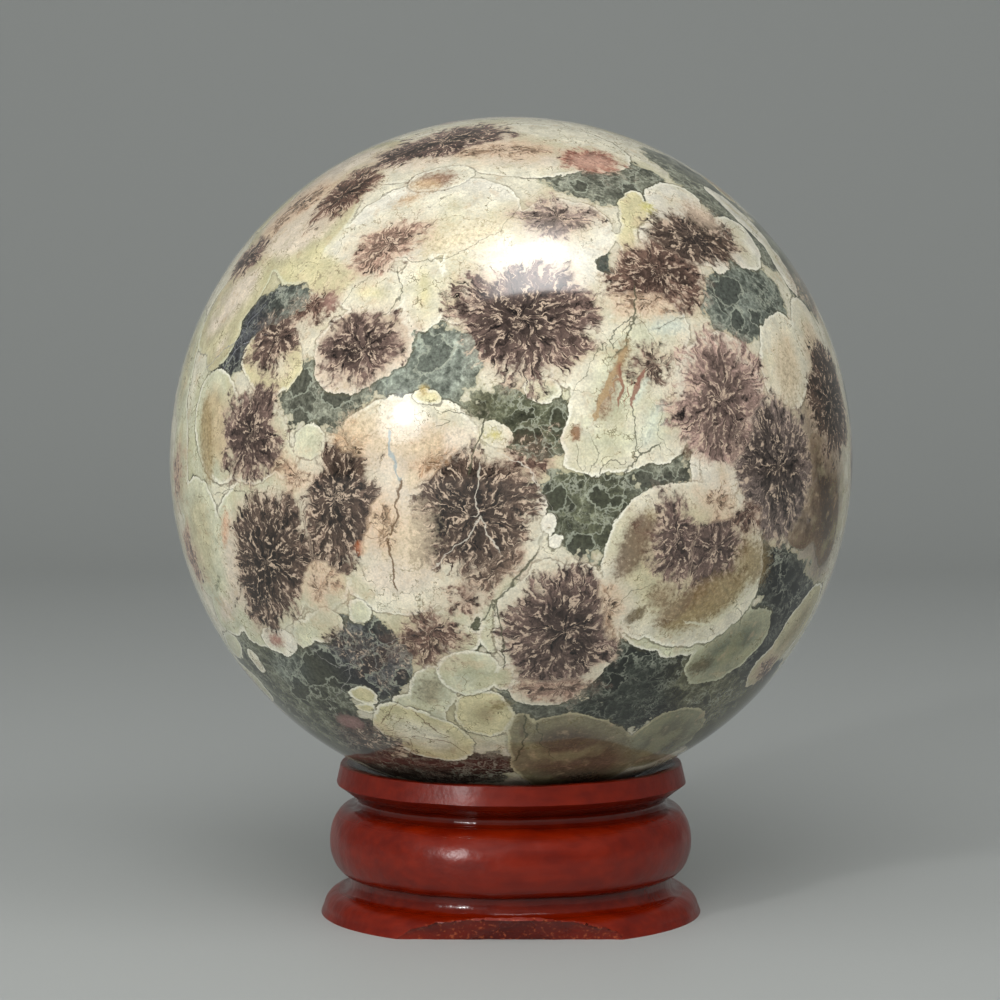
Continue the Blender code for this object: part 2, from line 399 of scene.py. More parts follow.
BASE_TINTS = [
    mark(322, 262, 34, 34, 40, GREEN_CREAM, 2.5),
    mark(195, 480, 18, 120, 0, GREEN_CREAM, 2.0),
    mark(310, 590, 70, 30, 0, GREEN_CREAM, 3.0),
    mark(250, 300, 40, 20, 50, OLIVE_CREAM, 2.0),
    mark(600, 430, 60, 40, 0, "D9D8B2", 3.0),
    mark(500, 600, 40, 24, 30, PINK_CREAM, 3.0),
    mark(412, 640, 40, 30, 0, OLIVE_CREAM, 2.0),
    mark(450, 720, 70, 30, 0, OLIVE_CREAM, 2.0),
    mark(826, 480, 26, 110, 4, "857768", 2.0),
    mark(800, 500, 24, 60, 10, "9A8C7A", 2.5),
]

PEBBLES = [
    seen(297, 378, 12, 18, 15),
    seen(299, 421, 11, 17, 10),
    seen(337, 397, 14, 9, 0),
    seen(431, 339, 10, 8, 0),
    seen(432, 359, 22, 10, 35),
    seen(604, 267, 10, 15, 0),
    seen(602, 498, 10, 11, 0),
    seen(618, 500, 7, 8, 0),
    seen(640, 480, 14, 12, 0),
    seen(580, 545, 13, 12, 0),
    seen(555, 500, 14, 13, 30),
    seen(558, 418, 9, 12, 20),
    seen(524, 438, 13, 9, 0),
    seen(661, 484, 9, 8, 0),
    seen(681, 486, 8, 8, 0),
    seen(738, 322, 8, 9, 0),
    seen(757, 316, 7, 8, 0),
    seen(728, 290, 14, 16, 20),
    seen(630, 192, 9, 9, 0),
    seen(580, 186, 9, 6, 0),
    seen(640, 162, 12, 6, -15),
    seen(318, 668, 21, 17, 20),
    seen(348, 676, 20, 11, -20),
    seen(372, 664, 14, 10, 20),
    seen(370, 690, 12, 8, -30),
    seen(300, 690, 12, 10, -40),
    seen(388, 634, 16, 12, -10),
    seen(404, 681, 9, 9, 0),
]

SPOTS = [
    mark(433, 181, 25, 10, 12, "7A4A2C", 1.5),
    mark(409, 199, 15, 5, 22, "B8946C", 1.2),
    mark(592, 162, 22, 9, -5, "C8A08C", 1.2),
    mark(331, 301, 8, 11, -15, "9C7A6E", 0.9),
    mark(361, 548, 7, 8, 20, RUST, 0.2),
    mark(384, 555, 4, 5, 0, "8E5A34", 0.2),
    mark(412, 479, 8, 10, 0, "BC9268", 0.8),
    mark(423, 390, 5, 6, 0, "B49A54", 0.3),
    mark(617, 372, 6, 36, -22, "8C6A40", 0.9),
    mark(606, 400, 9, 20, -20, "8A6A52", 0.9),
    mark(641, 390, 4, 16, -25, "7E5140", 0.5),
    mark(576, 433, 6, 9, -10, "7C4A26", 0.2),
    mark(687, 452, 5, 8, 0, "4A3626", 0.15),
    mark(635, 545, 16, 38, -25, "85704E", 0.9),
    mark(631, 556, 9, 22, -28, "5E4432", 1.2),
    mark(704, 602, 54, 20, 28, "836C44", 1.1),
    mark(662, 596, 15, 12, 20, "66492F", 1.3),
    mark(754, 562, 18, 26, 0, "84704A", 1.6),
    mark(636, 615, 13, 6, 35, "57472A", 0.3),
    mark(664, 604, 9, 7, 0, "7E664C", 0.6),
    mark(206, 440, 8, 44, 3, "9C8862", 0.8),
    mark(276, 640, 8, 6, -20, "9A665A", 0.6),
    mark(350, 722, 15, 7, -15, "8E6C66", 0.5),
    mark(700, 666, 14, 7, 20, "54492F", 0.6),
    mark(365, 426, 26, 16, 20, TAN, 2.0),
    mark(440, 442, 44, 12, 15, PINK_CREAM, 2.0),
    mark(384, 440, 22, 14, 10, "D2BE9E", 2.5),
    mark(414, 540, 18, 34, 0, "D6C4A6", 2.5),
    mark(470, 236, 46, 18, 14, "D9C9A4", 3.0),
    mark(700, 214, 22, 10, -35, "D2BCA4", 2.0),
    mark(790, 378, 12, 32, 8, "C0B094", 1.8),
    mark(652, 425, 9, 24, -20, "D0D6C4", 1.4),
    mark(668, 326, 20, 9, 10, "C9D0C2", 1.2),
    mark(495, 435, 6, 6, 0, "B9AE62", 0.4),
    mark(225, 528, 4, 18, -5, "CF9F80", 0.8),
    mark(218, 584, 2, 8, -20, "5A6048", 0.2),
    mark(648, 207, 6, 5, 0, "C9C164", 0.8),
    mark(428, 690, 14, 16, -15, "918C74", 1.0),
    mark(500, 706, 12, 5, 20, "8C7C50", 0.8),
]

DARK_LINE = "4A4A38"
BROWN_LINE = "5E4428"
PALE_LINE = "CDC4B4"
BLUE_LINE = "9AA5A6"

LINES = [
    Line([(628, 338), (620, 358), (611, 378), (603, 396), (596, 414)], 0.8, "A68C68"),
    Line([(618, 366), (622, 384), (618, 398)], 0.5, "8A5C48"),
    Line([(641, 374), (637, 388), (632, 402)], 0.5, "8A5F50"),
    Line([(316, 652), (336, 668), (352, 664), (372, 648), (396, 640)], 0.10, "92908A"),
    Line([(338, 694), (350, 680), (352, 664), (346, 648)], 0.10, "92908A"),
    Line([(372, 648), (378, 668), (392, 684), (404, 690)], 0.08, "92908A"),
    Line([(208, 368), (222, 352), (238, 340), (250, 322), (262, 308)], 0.14, "8A8C90"),
    Line([(226, 366), (234, 352), (246, 344)], 0.10, "9C9CA0"),
    Line([(399, 259), (430, 262), (455, 255), (476, 244), (498, 233), (507, 218), (521, 206)],
         0.10, DARK_LINE),
    Line([(398, 272), (402, 290), (398, 303), (380, 316)], 0.14, DARK_LINE),
    Line([(447, 330), (449, 305), (444, 296)], 0.10, DARK_LINE),
    Line([(344, 302), (352, 290), (366, 281)], 0.10, DARK_LINE),
    Line([(390, 436), (392, 457), (399, 479)], 0.34, BLUE_LINE),
    Line([(400, 482), (396, 505), (397, 518), (389, 530), (388, 550), (392, 562), (395, 585)],
         0.38, BROWN_LINE),
    Line([(378, 530), (386, 538), (367, 537)], 0.10, BROWN_LINE),
    Line([(482, 420), (481, 436), (474, 452), (470, 470)], 0.26, DARK_LINE),
    Line([(447, 411), (462, 414), (478, 420)], 0.16, DARK_LINE),
    Line([(444, 425), (462, 421)], 0.10, DARK_LINE),
    Line([(635, 291), (635, 316), (630, 331), (626, 344), (613, 353)], 0.24, DARK_LINE),
    Line([(635, 316), (613, 331), (609, 344), (613, 353)], 0.18, DARK_LINE),
    Line([(635, 316), (643, 322), (655, 340)], 0.10, DARK_LINE),
    Line([(655, 328), (668, 324), (686, 318)], 0.10, DARK_LINE),
    Line([(606, 342), (592, 358), (584, 375), (578, 384)], 0.12, DARK_LINE),
    Line([(634, 413), (636, 441), (636, 457), (625, 470)], 0.16, DARK_LINE),
    Line([(656, 445), (645, 453), (634, 462), (624, 476)], 0.26, DARK_LINE),
    Line([(601, 471), (605, 462), (613, 459), (622, 465)], 0.16, DARK_LINE),
    Line([(594, 445), (600, 455), (590, 470)], 0.10, DARK_LINE),
    Line([(576, 448), (577, 460), (583, 472)], 0.10, DARK_LINE),
    Line([(661, 417), (659, 436), (668, 448)], 0.08, DARK_LINE),
    Line([(532, 560), (518, 575), (505, 590), (490, 606), (484, 618)], 0.30, DARK_LINE),
    Line([(495, 600), (499, 618), (503, 640), (503, 664)], 0.24, DARK_LINE),
    Line([(622, 600), (632, 592), (646, 588)], 0.10, DARK_LINE),
    Line([(735, 601), (743, 612), (741, 622)], 0.12, DARK_LINE),
    Line([(390, 736), (420, 736), (448, 742), (465, 752)], 0.16, BROWN_LINE),
    Line([(411, 738), (412, 762)], 0.10, BROWN_LINE),
    Line([(380, 722), (390, 712), (396, 704)], 0.14, BROWN_LINE),
    Line([(376, 730), (392, 730), (400, 720)], 0.12, BROWN_LINE),
    Line([(418, 716), (432, 728), (446, 736)], 0.16, BROWN_LINE),
    Line([(538, 726), (542, 742), (552, 756)], 0.16, DARK_LINE),
    Line([(524, 718), (526, 736), (516, 758)], 0.34, DARK_LINE),
    Line([(496, 545), (487, 530), (480, 517), (476, 490), (480, 470)], 0.20, PALE_LINE),
    Line([(480, 517), (466, 540), (450, 552), (436, 566)], 0.16, PALE_LINE),
    Line([(534, 478), (528, 468), (516, 462), (504, 454)], 0.16, PALE_LINE),
    Line([(218, 493), (232, 490), (246, 493), (262, 492)], 0.12, DARK_LINE),
    Line([(690, 622), (709, 625), (735, 608), (756, 584)], 0.40, "CFCBB0"),
]

# The hidden side, laid out by chance from one seed
HIDDEN_SEED = 41
HIDDEN_BODIES = 72
SEEN_ANGLE = math.radians(76)  # a body of the hidden side stays outside this angle from the camera
BODY_RADII = (2.4, 7.0)
FRONT_RADIUS = 4  # bodies smaller than this lie over the larger ones
HEART_RADIUS = 3  # bodies larger than this may have a heart
OVERLAP = 0.62  # bodies nearer than this share of their radii overlap
OVERLAP_REFUSED = 0.93  # the share of overlapping bodies that is left out
HEART_CHANCE = 0.8
SPOT_CHANCE = 0.5
PEBBLES_EACH = 3
GROUND_PATCH = (5, 3.5)  # mm, half the length and width of the ground beside each body
GROUND_REACH = 4.5  # mm, how far from its centre the ground has to stay hidden
FLESH_CHOICES = [CREAM, PALE_CREAM, YELLOW_CREAM, GREEN_CREAM, PINK_CREAM, CREAM]
INNER_CHOICES = [CREAM, PINK_CREAM, TAN, YELLOW_CREAM, OLIVE_CREAM, GLASSY_GREEN]
INK_CHOICES = [MAUVE, DARK_MAUVE, WARM_BROWN, MAUVE, PINK_BROWN]
GROUND_CHOICES = [GREY_GREEN, DARK_GREEN, SLATE, TEAL, OLIVE, GREY_GREEN]
SPOT_CHOICES = [RUST, TAN, BROWN, PINK]


def near(centre, reach_mm, chance):
    """A place within that many millimetres of a centre, along the surface."""
    across, up = tangents(centre)
    angle = chance.uniform(0, math.tau)
    reach = reach_mm * MM / BALL_RADIUS
    moved = centre + (across * math.cos(angle) + up * math.sin(angle)) * math.tan(reach)
    return moved.normalized()


def out_of_view(centre, reach_mm):
    """Whether a mark that reaches so far round its centre stays on the hidden side."""
    towards_camera = (CAMERA_PLACE - BALL_CENTRE).normalized()
    return centre.angle(towards_camera) - reach_mm * MM / BALL_RADIUS >= SEEN_ANGLE


def fill_hidden_side():
    """Bodies, hearts, ground and spots over the part of the ball that the photograph doesn't show."""
    chance = np.random.default_rng(HIDDEN_SEED)
    found = []
    while len(found) < HIDDEN_BODIES:
        centre = Vector(chance.normal(size=3)).normalized()
        radius = chance.uniform(*BODY_RADII)
        if not out_of_view(centre, radius):
            continue
        gaps = [centre.angle(other) * BALL_RADIUS / MM - OVERLAP * (radius + size) for other, size in found]
        if gaps and min(gaps) < 0 and chance.random() < OVERLAP_REFUSED:
            continue
        found.append((centre, radius))
    for centre, radius in found:
        lobes = [hidden(centre, radius, radius * chance.uniform(0.7, 1), chance.uniform(0, math.tau))]
        for _ in range(int(chance.integers(2, 6))):
            size = radius * chance.uniform(0.3, 0.6)
            lobes.append(hidden(near(centre, radius * 0.75, chance), size, size * chance.uniform(0.7, 1), 0))
        layer = FRONT if radius < FRONT_RADIUS else BACK
        flesh = str(chance.choice(FLESH_CHOICES))
        inner = str(chance.choice(INNER_CHOICES))
        BODIES.append(body(layer, flesh, inner, *lobes))
        if radius > HEART_RADIUS and chance.random() < HEART_CHANCE:
            size = radius * chance.uniform(0.5, 0.72)
            spread = size * chance.uniform(0.65, 1)
            patch = hidden(near(centre, radius * 0.2, chance), size, spread, chance.uniform(0, math.tau))
            ink = str(chance.choice(INK_CHOICES))
            HEARTS.append(Heart(patch, ink, chance.uniform(0.8, 1.1), chance.uniform(0.1, 0.9)))
        if chance.random() < SPOT_CHANCE:
            place = near(centre, radius * 0.6, chance)
            patch = hidden(place, chance.uniform(0.3, 1.6), 0.5, chance.uniform(0, 3))
            SPOTS.append(Mark(patch, str(chance.choice(SPOT_CHOICES)), chance.uniform(0.2, 1.0)))
        patch = hidden(near(centre, radius + 1, chance), *GROUND_PATCH, chance.uniform(0, 3))
        colour = str(chance.choice(GROUND_CHOICES))
        if out_of_view(patch.centre, GROUND_REACH):
            GROUND.append(Mark(patch, colour, 1.5))
        for _ in range(PEBBLES_EACH):
            size = chance.uniform(0.5, 1.1)
            patch = hidden(near(centre, radius + 2.0, chance), size, size * 0.8, 0)
            if out_of_view(patch.centre, size):
                PEBBLES.append(patch)


# The pattern as numbers on the ball's mesh

FAR = 9.0  # mm, stands for no mark near
BLEND = 4  # how quickly the colours of neighbouring bodies change from one to the other
BLEND_REACH = 4  # mm from an outline past which they change no more
FAN_STEP = 3.7  # sets the fibres of each heart apart from the next one's
LINE_SHARE = 0.3  # of a line's width, drawn to each side of it
LINE_TAPER = 0.35  # how much thinner a line gets towards its end
LINE_FADE = (0.62, 0.36)  # mm from a line, between which it fades in


def layer_attributes(points, layer):
    """The depth inside a layer's bodies, and the colours of their flesh, their inside and their rim."""
    depth = np.full(len(points), -FAR)
    colours = np.zeros((3, len(points), 3))
    weight = np.full(len(points), 1e-9)
    for each in BODIES:
        if each.layer != layer:
            continue
        inside = np.max([depth_inside(points, patch) for patch in each.patches], axis=0)
        strength = np.exp(np.clip(inside, -BLEND_REACH, BLEND_REACH) * BLEND)
        for number, name in enumerate((each.flesh, each.inner, each.rim)):
            colours[number] += np.array(linear(name)[:3]) * strength[:, None]
        weight += strength
        depth = np.maximum(depth, inside)
    flesh, inner, rim = colours / weight[:, None]
    return depth, flesh, inner, rim


def heart_attributes(points):
    """Depth inside the nearest heart, the offsets from its centre with a seed, its ink, and its density
    and grain."""
    depth = np.full(len(points), -FAR)
    fan = np.zeros((len(points), 3))
    ink = np.zeros((len(points), 3))
    nature = np.zeros((len(points), 3))
    for number, each in enumerate(HEARTS):
        inside = depth_inside(points, each.patch)
        nearer = inside > depth
        depth = np.where(nearer, inside, depth)
        fan[nearer, :2] = offsets(points[nearer], each.patch)
        fan[nearer, 2] = number * FAN_STEP
        ink[nearer] = linear(each.ink)[:3]
        nature[nearer] = (each.density, each.grain, 0)
    return depth, fan, ink, nature


def mark_attributes(points, marks, start):
    """The blended colour of marks over a starting colour."""
    colour = np.tile(np.array(linear(start)[:3]), (len(points), 1))
    for each in marks:
        cover = smooth_step(-each.soft, each.soft, depth_inside(points, each.patch))[:, None]
        colour = colour * (1 - cover) + np.array(linear(each.colour)[:3]) * cover
    return colour


def spot_attributes(points):
    """How much each point is covered by spots, and their colour."""
    cover = np.zeros(len(points))
    colour = np.full((len(points), 3), 0.3)
    for each in SPOTS:
        depth = depth_inside(points, each.patch)
        inside = smooth_step(-each.soft, each.soft, depth)
        reached = smooth_step(-each.soft - 0.5, -each.soft, depth)[:, None]
        colour = colour * (1 - reached) + np.array(linear(each.colour)[:3]) * reached
        cover = np.maximum(cover, inside)
    return cover, colour


def line_attributes(points):
    """Signed millimetres to the nearest line, its half-width, fading out away from it, and its colour."""
    away = np.full(len(points), FAR)
    signed = np.full(len(points), FAR)
    half_width = np.zeros(len(points))
    colour = np.zeros((len(points), 3))
    for line in LINES:
        corners = [np.array(seen(x, y, 1, 1).centre) for x, y in line.points]
        for number, (start, end) in enumerate(zip(corners, corners[1:])):
            along = end - start
            length = np.linalg.norm(along)
            along = along / length
            middle = (start + end) / 2
            across = np.cross(middle / np.linalg.norm(middle), along)
            offset = points - start
            run = offset @ along
            side = offset @ across
            beyond = np.maximum(np.maximum(-run, run - length), 0)
            distance = np.hypot(side, beyond) * BALL_RADIUS / MM
            distance[points @ middle < 0.5] = FAR
            nearer = distance < away
            away = np.where(nearer, distance, away)
            signed = np.where(nearer, side * BALL_RADIUS / MM, signed)
            taper = 1 - LINE_TAPER * number / len(corners)
            half_width = np.where(nearer, line.width * LINE_SHARE * taper, half_width)
            colour[nearer] = linear(line.colour)[:3]
    strength = smooth_step(*LINE_FADE, away)
    return signed, half_width * strength, colour


# One function adds a node

def add(tree, kind, inputs=(), **settings):
    """Add a node, set its settings, then set or link its inputs. A node given as an input links its first
    output that is in use."""
    made = tree.nodes.new(kind)
    for name, value in settings.items():
        setattr(made, name, value)
    for key, value in dict(inputs).items():
        if isinstance(key, int):
            target = made.inputs[key]
        else:
            target = next(socket for socket in made.inputs if socket.name == key and socket.enabled)
        if isinstance(value, bpy.types.Node):
            value = next(socket for socket in value.outputs if socket.enabled)
        if isinstance(value, bpy.types.NodeSocket):
            tree.links.new(value, target)
        else:
            target.default_value = value
    return made


def new_material(name):
    material = bpy.data.materials.new(name)
    material.use_nodes = True
    material.node_tree.nodes.clear()
    return material, material.node_tree


# Polished flower rhyolite: a volcanic stone of pale round bodies with dark fibrous hearts, in a ground
# of grey-green glass gone to clay. It is sawn, ground round and polished with fine grit, so the pattern
# is flush, the surface mirrors soft lights, and only the colours change from grain to grain.

CELL_SIZE = 1.5  # mm across a cell of the ground
SMALL_CELLS = 2.6  # times smaller are the cells of its fine veins
FIBRE_STEPS = (2.6, 5.2, 10.4)  # how closely fibres stand round a heart's centre, near it to far out
FIBRE_CHANGES = ((1.1, 1.9), (2.3, 3.7))  # mm from the centre where each gives way to the next
HAIR_FINENESS = 1.75  # times finer are the hairs between the fibres
HAIRLINE_SPACING = 3.4  # mm between hairline cracks in the pale bodies
NOISE_SPREAD = {"From Min": 0.3, "From Max": 0.7}  # where most of a noise's values lie

# What tints the flesh: a colour, the noise it follows, the values where it begins and is full, its strength
FLESH_TINTS = [
    (GREEN_WASH, "broad", 0.5, 0.66, 0.35),
    (TAN_STAIN, "drift", 0.06, 0.2, 0.4),
    (TAN_FLECK, "fine", 0.56, 0.66, 0.3),
]


def stone_noises(tree):
    """The ball's own millimetres and the noises that its marks share."""
    place = add(tree, "ShaderNodeTexCoord")
    mm = add(tree, "ShaderNodeVectorMath", {0: place.outputs["Object"], "Scale": 1 / MM}, operation="SCALE")
    broad = add(tree, "ShaderNodeTexNoise", {"Vector": mm, "Scale": 0.28, "Detail": 3.0})
    wander = add(tree, "ShaderNodeTexNoise", {"Vector": mm, "Scale": 0.75, "Detail": 3.0, "Roughness": 0.6})
    fine = add(tree, "ShaderNodeTexNoise", {"Vector": mm, "Scale": 3.2, "Detail": 4.0, "Roughness": 0.65})
    half = (0.5, 0.5, 0.5)
    curl = add(tree, "ShaderNodeVectorMath", {0: wander.outputs["Color"], 1: half}, operation="SUBTRACT")
    crimp = add(tree, "ShaderNodeVectorMath", {0: fine.outputs["Color"], 1: half}, operation="SUBTRACT")
    parts = add(tree, "ShaderNodeSeparateXYZ", {0: curl})
    shift = add(tree, "ShaderNodeVectorMath", {0: curl, "Scale": 4.0}, operation="SCALE")
    bent = add(tree, "ShaderNodeVectorMath", {0: mm, 1: shift}, operation="ADD")
    return {
        "mm": mm, "bent": bent, "broad": broad, "wander": wander, "fine": fine,
        "curl": curl, "crimp": crimp, "drift": parts.outputs["Y"],
    }


def add_edge_depth(tree, attribute, noise, reach):
    """The depth inside an outline, in millimetres, with the outline swaying by the reach."""
    sway = add(
        tree, "ShaderNodeMapRange",
        {"Value": noise["wander"], **NOISE_SPREAD, "To Min": -reach, "To Max": reach},
    )
    nick = add(
        tree, "ShaderNodeMapRange", {"Value": noise["fine"], **NOISE_SPREAD, "To Min": -0.05, "To Max": 0.05},
    )
    bent = add(tree, "ShaderNodeMath", {0: sway, 1: nick}, operation="ADD")
    own = add(tree, "ShaderNodeAttribute", attribute_name=attribute)
    return add(tree, "ShaderNodeMath", {0: own.outputs["Fac"], 1: bent}, operation="ADD")


def add_ground(tree, noise):
    """The ground between the bodies: mottled cells with pale broken veins and smooth dark pebbles."""
    ground = add(tree, "ShaderNodeAttribute", attribute_name="ground")
    pebble = add_edge_depth(tree, "pebble", noise, 0.45)
    shift = add(tree, "ShaderNodeVectorMath", {0: noise["curl"], "Scale": 3.4}, operation="SCALE")
    warped = add(tree, "ShaderNodeVectorMath", {0: noise["mm"], 1: shift}, operation="ADD")
    cells = add(
        tree, "ShaderNodeTexVoronoi", {"Vector": warped, "Scale": 1 / CELL_SIZE}, feature="DISTANCE_TO_EDGE",
    )
    tints = add(tree, "ShaderNodeTexVoronoi", {"Vector": warped, "Scale": 1 / CELL_SIZE}, feature="F1")
    tint = add(tree, "ShaderNodeSeparateColor", {"Color": tints.outputs["Color"]})
    small = add(
        tree, "ShaderNodeTexVoronoi", {"Vector": warped, "Scale": SMALL_CELLS / CELL_SIZE},
        feature="DISTANCE_TO_EDGE",
    )
    mottle = add(
        tree, "ShaderNodeMapRange", {"Value": noise["fine"], **NOISE_SPREAD, "To Min": 0.45, "To Max": 1.6},
    )
    cloud = add(
        tree, "ShaderNodeMapRange", {"Value": noise["wander"], **NOISE_SPREAD, "To Min": 0.6, "To Max": 1.45},
    )
    cell_tone = add(
        tree, "ShaderNodeMapRange", {"Value": tint.outputs["Red"], "To Min": 0.55, "To Max": 1.35},
    )
    middle = add(
        tree, "ShaderNodeMapRange",
        {"Value": cells, "From Min": 0.02, "From Max": 0.3, "To Min": 1.3, "To Max": 0.75},
    )
    clouded = add(tree, "ShaderNodeMath", {0: mottle, 1: cloud}, operation="MULTIPLY")
    hollowed = add(tree, "ShaderNodeMath", {0: clouded, 1: middle}, operation="MULTIPLY")
    tone = add(tree, "ShaderNodeMath", {0: hollowed, 1: cell_tone}, operation="MULTIPLY")
    toned = add(tree, "ShaderNodeVectorMath", {0: ground, "Scale": tone}, operation="SCALE")
    vein = add(
        tree, "ShaderNodeMapRange",
        {"Value": cells, "From Min": 0.01, "From Max": 0.08, "To Min": 0.5, "To Max": 0.0},
        interpolation_type="SMOOTHSTEP",
    )
    vein_breaks = add(
        tree, "ShaderNodeMapRange",
        {"Value": noise["broad"], "From Min": 0.44, "From Max": 0.6, "To Min": 0.1, "To Max": 1.0},
    )
    vein_part = add(tree, "ShaderNodeMath", {0: vein, 1: vein_breaks}, operation="MULTIPLY")
    small_vein = add(
        tree, "ShaderNodeMapRange",
        {"Value": small, "From Min": 0.01, "From Max": 0.1, "To Min": 0.32, "To Max": 0.0},
        interpolation_type="SMOOTHSTEP",
    )
    broken = add(
        tree, "ShaderNodeMapRange", {"Value": noise["wander"], "From Min": 0.48, "From Max": 0.62},
        interpolation_type="SMOOTHSTEP",
    )
    small_part = add(tree, "ShaderNodeMath", {0: small_vein, 1: broken}, operation="MULTIPLY")
    veins = add(tree, "ShaderNodeMath", {0: vein_part, 1: small_part}, operation="MAXIMUM")
    veined = add(
        tree, "ShaderNodeMix", {"Factor": veins, "A": toned, "B": linear(VEIN)}, data_type="RGBA",
    )
    inside = add(
        tree, "ShaderNodeMapRange", {"Value": pebble, "From Min": 0.0, "From Max": 0.14},
        interpolation_type="SMOOTHSTEP",
    )
    smooth = add(tree, "ShaderNodeVectorMath", {0: ground, "Scale": mottle}, operation="SCALE")
    darker = add(tree, "ShaderNodeVectorMath", {0: smooth, "Scale": 0.55}, operation="SCALE")
    pebbled = add(tree, "ShaderNodeMix", {"Factor": inside, "A": veined, "B": darker}, data_type="RGBA")
    edge = add(tree, "ShaderNodeMath", {0: pebble}, operation="ABSOLUTE")
    skin = add(
        tree, "ShaderNodeMapRange",
        {"Value": edge, "From Min": 0.02, "From Max": 0.12, "To Min": 0.6, "To Max": 0.0},
        interpolation_type="SMOOTHSTEP",
    )
    skin_part = add(tree, "ShaderNodeMath", {0: skin, 1: cloud}, operation="MULTIPLY")
    return add(
        tree, "ShaderNodeMix", {"Factor": skin_part, "A": pebbled, "B": linear(PEBBLE_SKIN)},
        data_type="RGBA",
    )


def add_flesh(tree, colour, noise):
    """The pale flesh of the stone: clouded, washed with green and tan, and crossed by hairline cracks."""
    cloud = add(
        tree, "ShaderNodeMapRange",
        {"Value": noise["wander"], **NOISE_SPREAD, "To Min": 0.72, "To Max": 1.14},
    )
    grain = add(
        tree, "ShaderNodeMapRange", {"Value": noise["fine"], **NOISE_SPREAD, "To Min": 0.85, "To Max": 1.1},
    )
    tone = add(tree, "ShaderNodeMath", {0: cloud, 1: grain}, operation="MULTIPLY")
    toned = add(tree, "ShaderNodeVectorMath", {0: colour, "Scale": tone}, operation="SCALE")
    tinted = toned
    for tint, kind, begins, full, strength in FLESH_TINTS:
        part = add(
            tree, "ShaderNodeMapRange",
            {"Value": noise[kind], "From Min": begins, "From Max": full, "To Max": strength},
            interpolation_type="SMOOTHSTEP",
        )
        tinted = add(
            tree, "ShaderNodeMix", {"Factor": part, "A": tinted, "B": linear(tint)}, data_type="RGBA",
        )
    web = add(
        tree, "ShaderNodeTexVoronoi", {"Vector": noise["bent"], "Scale": 1 / HAIRLINE_SPACING},
        feature="DISTANCE_TO_EDGE",
    )
    hairline = add(
        tree, "ShaderNodeMapRange",
        {"Value": web, "From Min": 0.004, "From Max": 0.02, "To Min": 0.8, "To Max": 0.0},
        interpolation_type="SMOOTHSTEP",
    )
    breaks = add(
        tree, "ShaderNodeMapRange", {"Value": noise["wander"], "From Min": 0.4, "From Max": 0.54},
        interpolation_type="SMOOTHSTEP",
    )
    cracks = add(tree, "ShaderNodeMath", {0: hairline, 1: breaks}, operation="MULTIPLY")
    return add(
        tree, "ShaderNodeMix", {"Factor": cracks, "A": tinted, "B": linear(HAIRLINE)}, data_type="RGBA",
    )


def add_base(tree, noise):
    """The pale flesh everywhere, and the ground over it where there is some."""
    flesh = add_flesh(tree, add(tree, "ShaderNodeAttribute", attribute_name="base"), noise)
    ground = add_ground(tree, noise)
    depth = add_edge_depth(tree, "ground_depth", noise, 0.8)
    edge = add(
        tree, "ShaderNodeMapRange",
        {"Value": depth, "From Min": -0.45, "From Max": 0.0, "To Min": 0.0, "To Max": 0.55},
        interpolation_type="SMOOTHSTEP",
    )
    dimmed = add(tree, "ShaderNodeMix", {"Factor": edge, "A": flesh, "B": linear(DIM_EDGE)}, data_type="RGBA")
    inside = add(
        tree, "ShaderNodeMapRange", {"Value": depth, "From Min": -0.06, "From Max": 0.1},
        interpolation_type="SMOOTHSTEP",
    )
    base = add(tree, "ShaderNodeMix", {"Factor": inside, "A": dimmed, "B": ground}, data_type="RGBA")
    pale = add(tree, "ShaderNodeMath", {0: 1.0, 1: inside}, operation="SUBTRACT")
    return base, pale


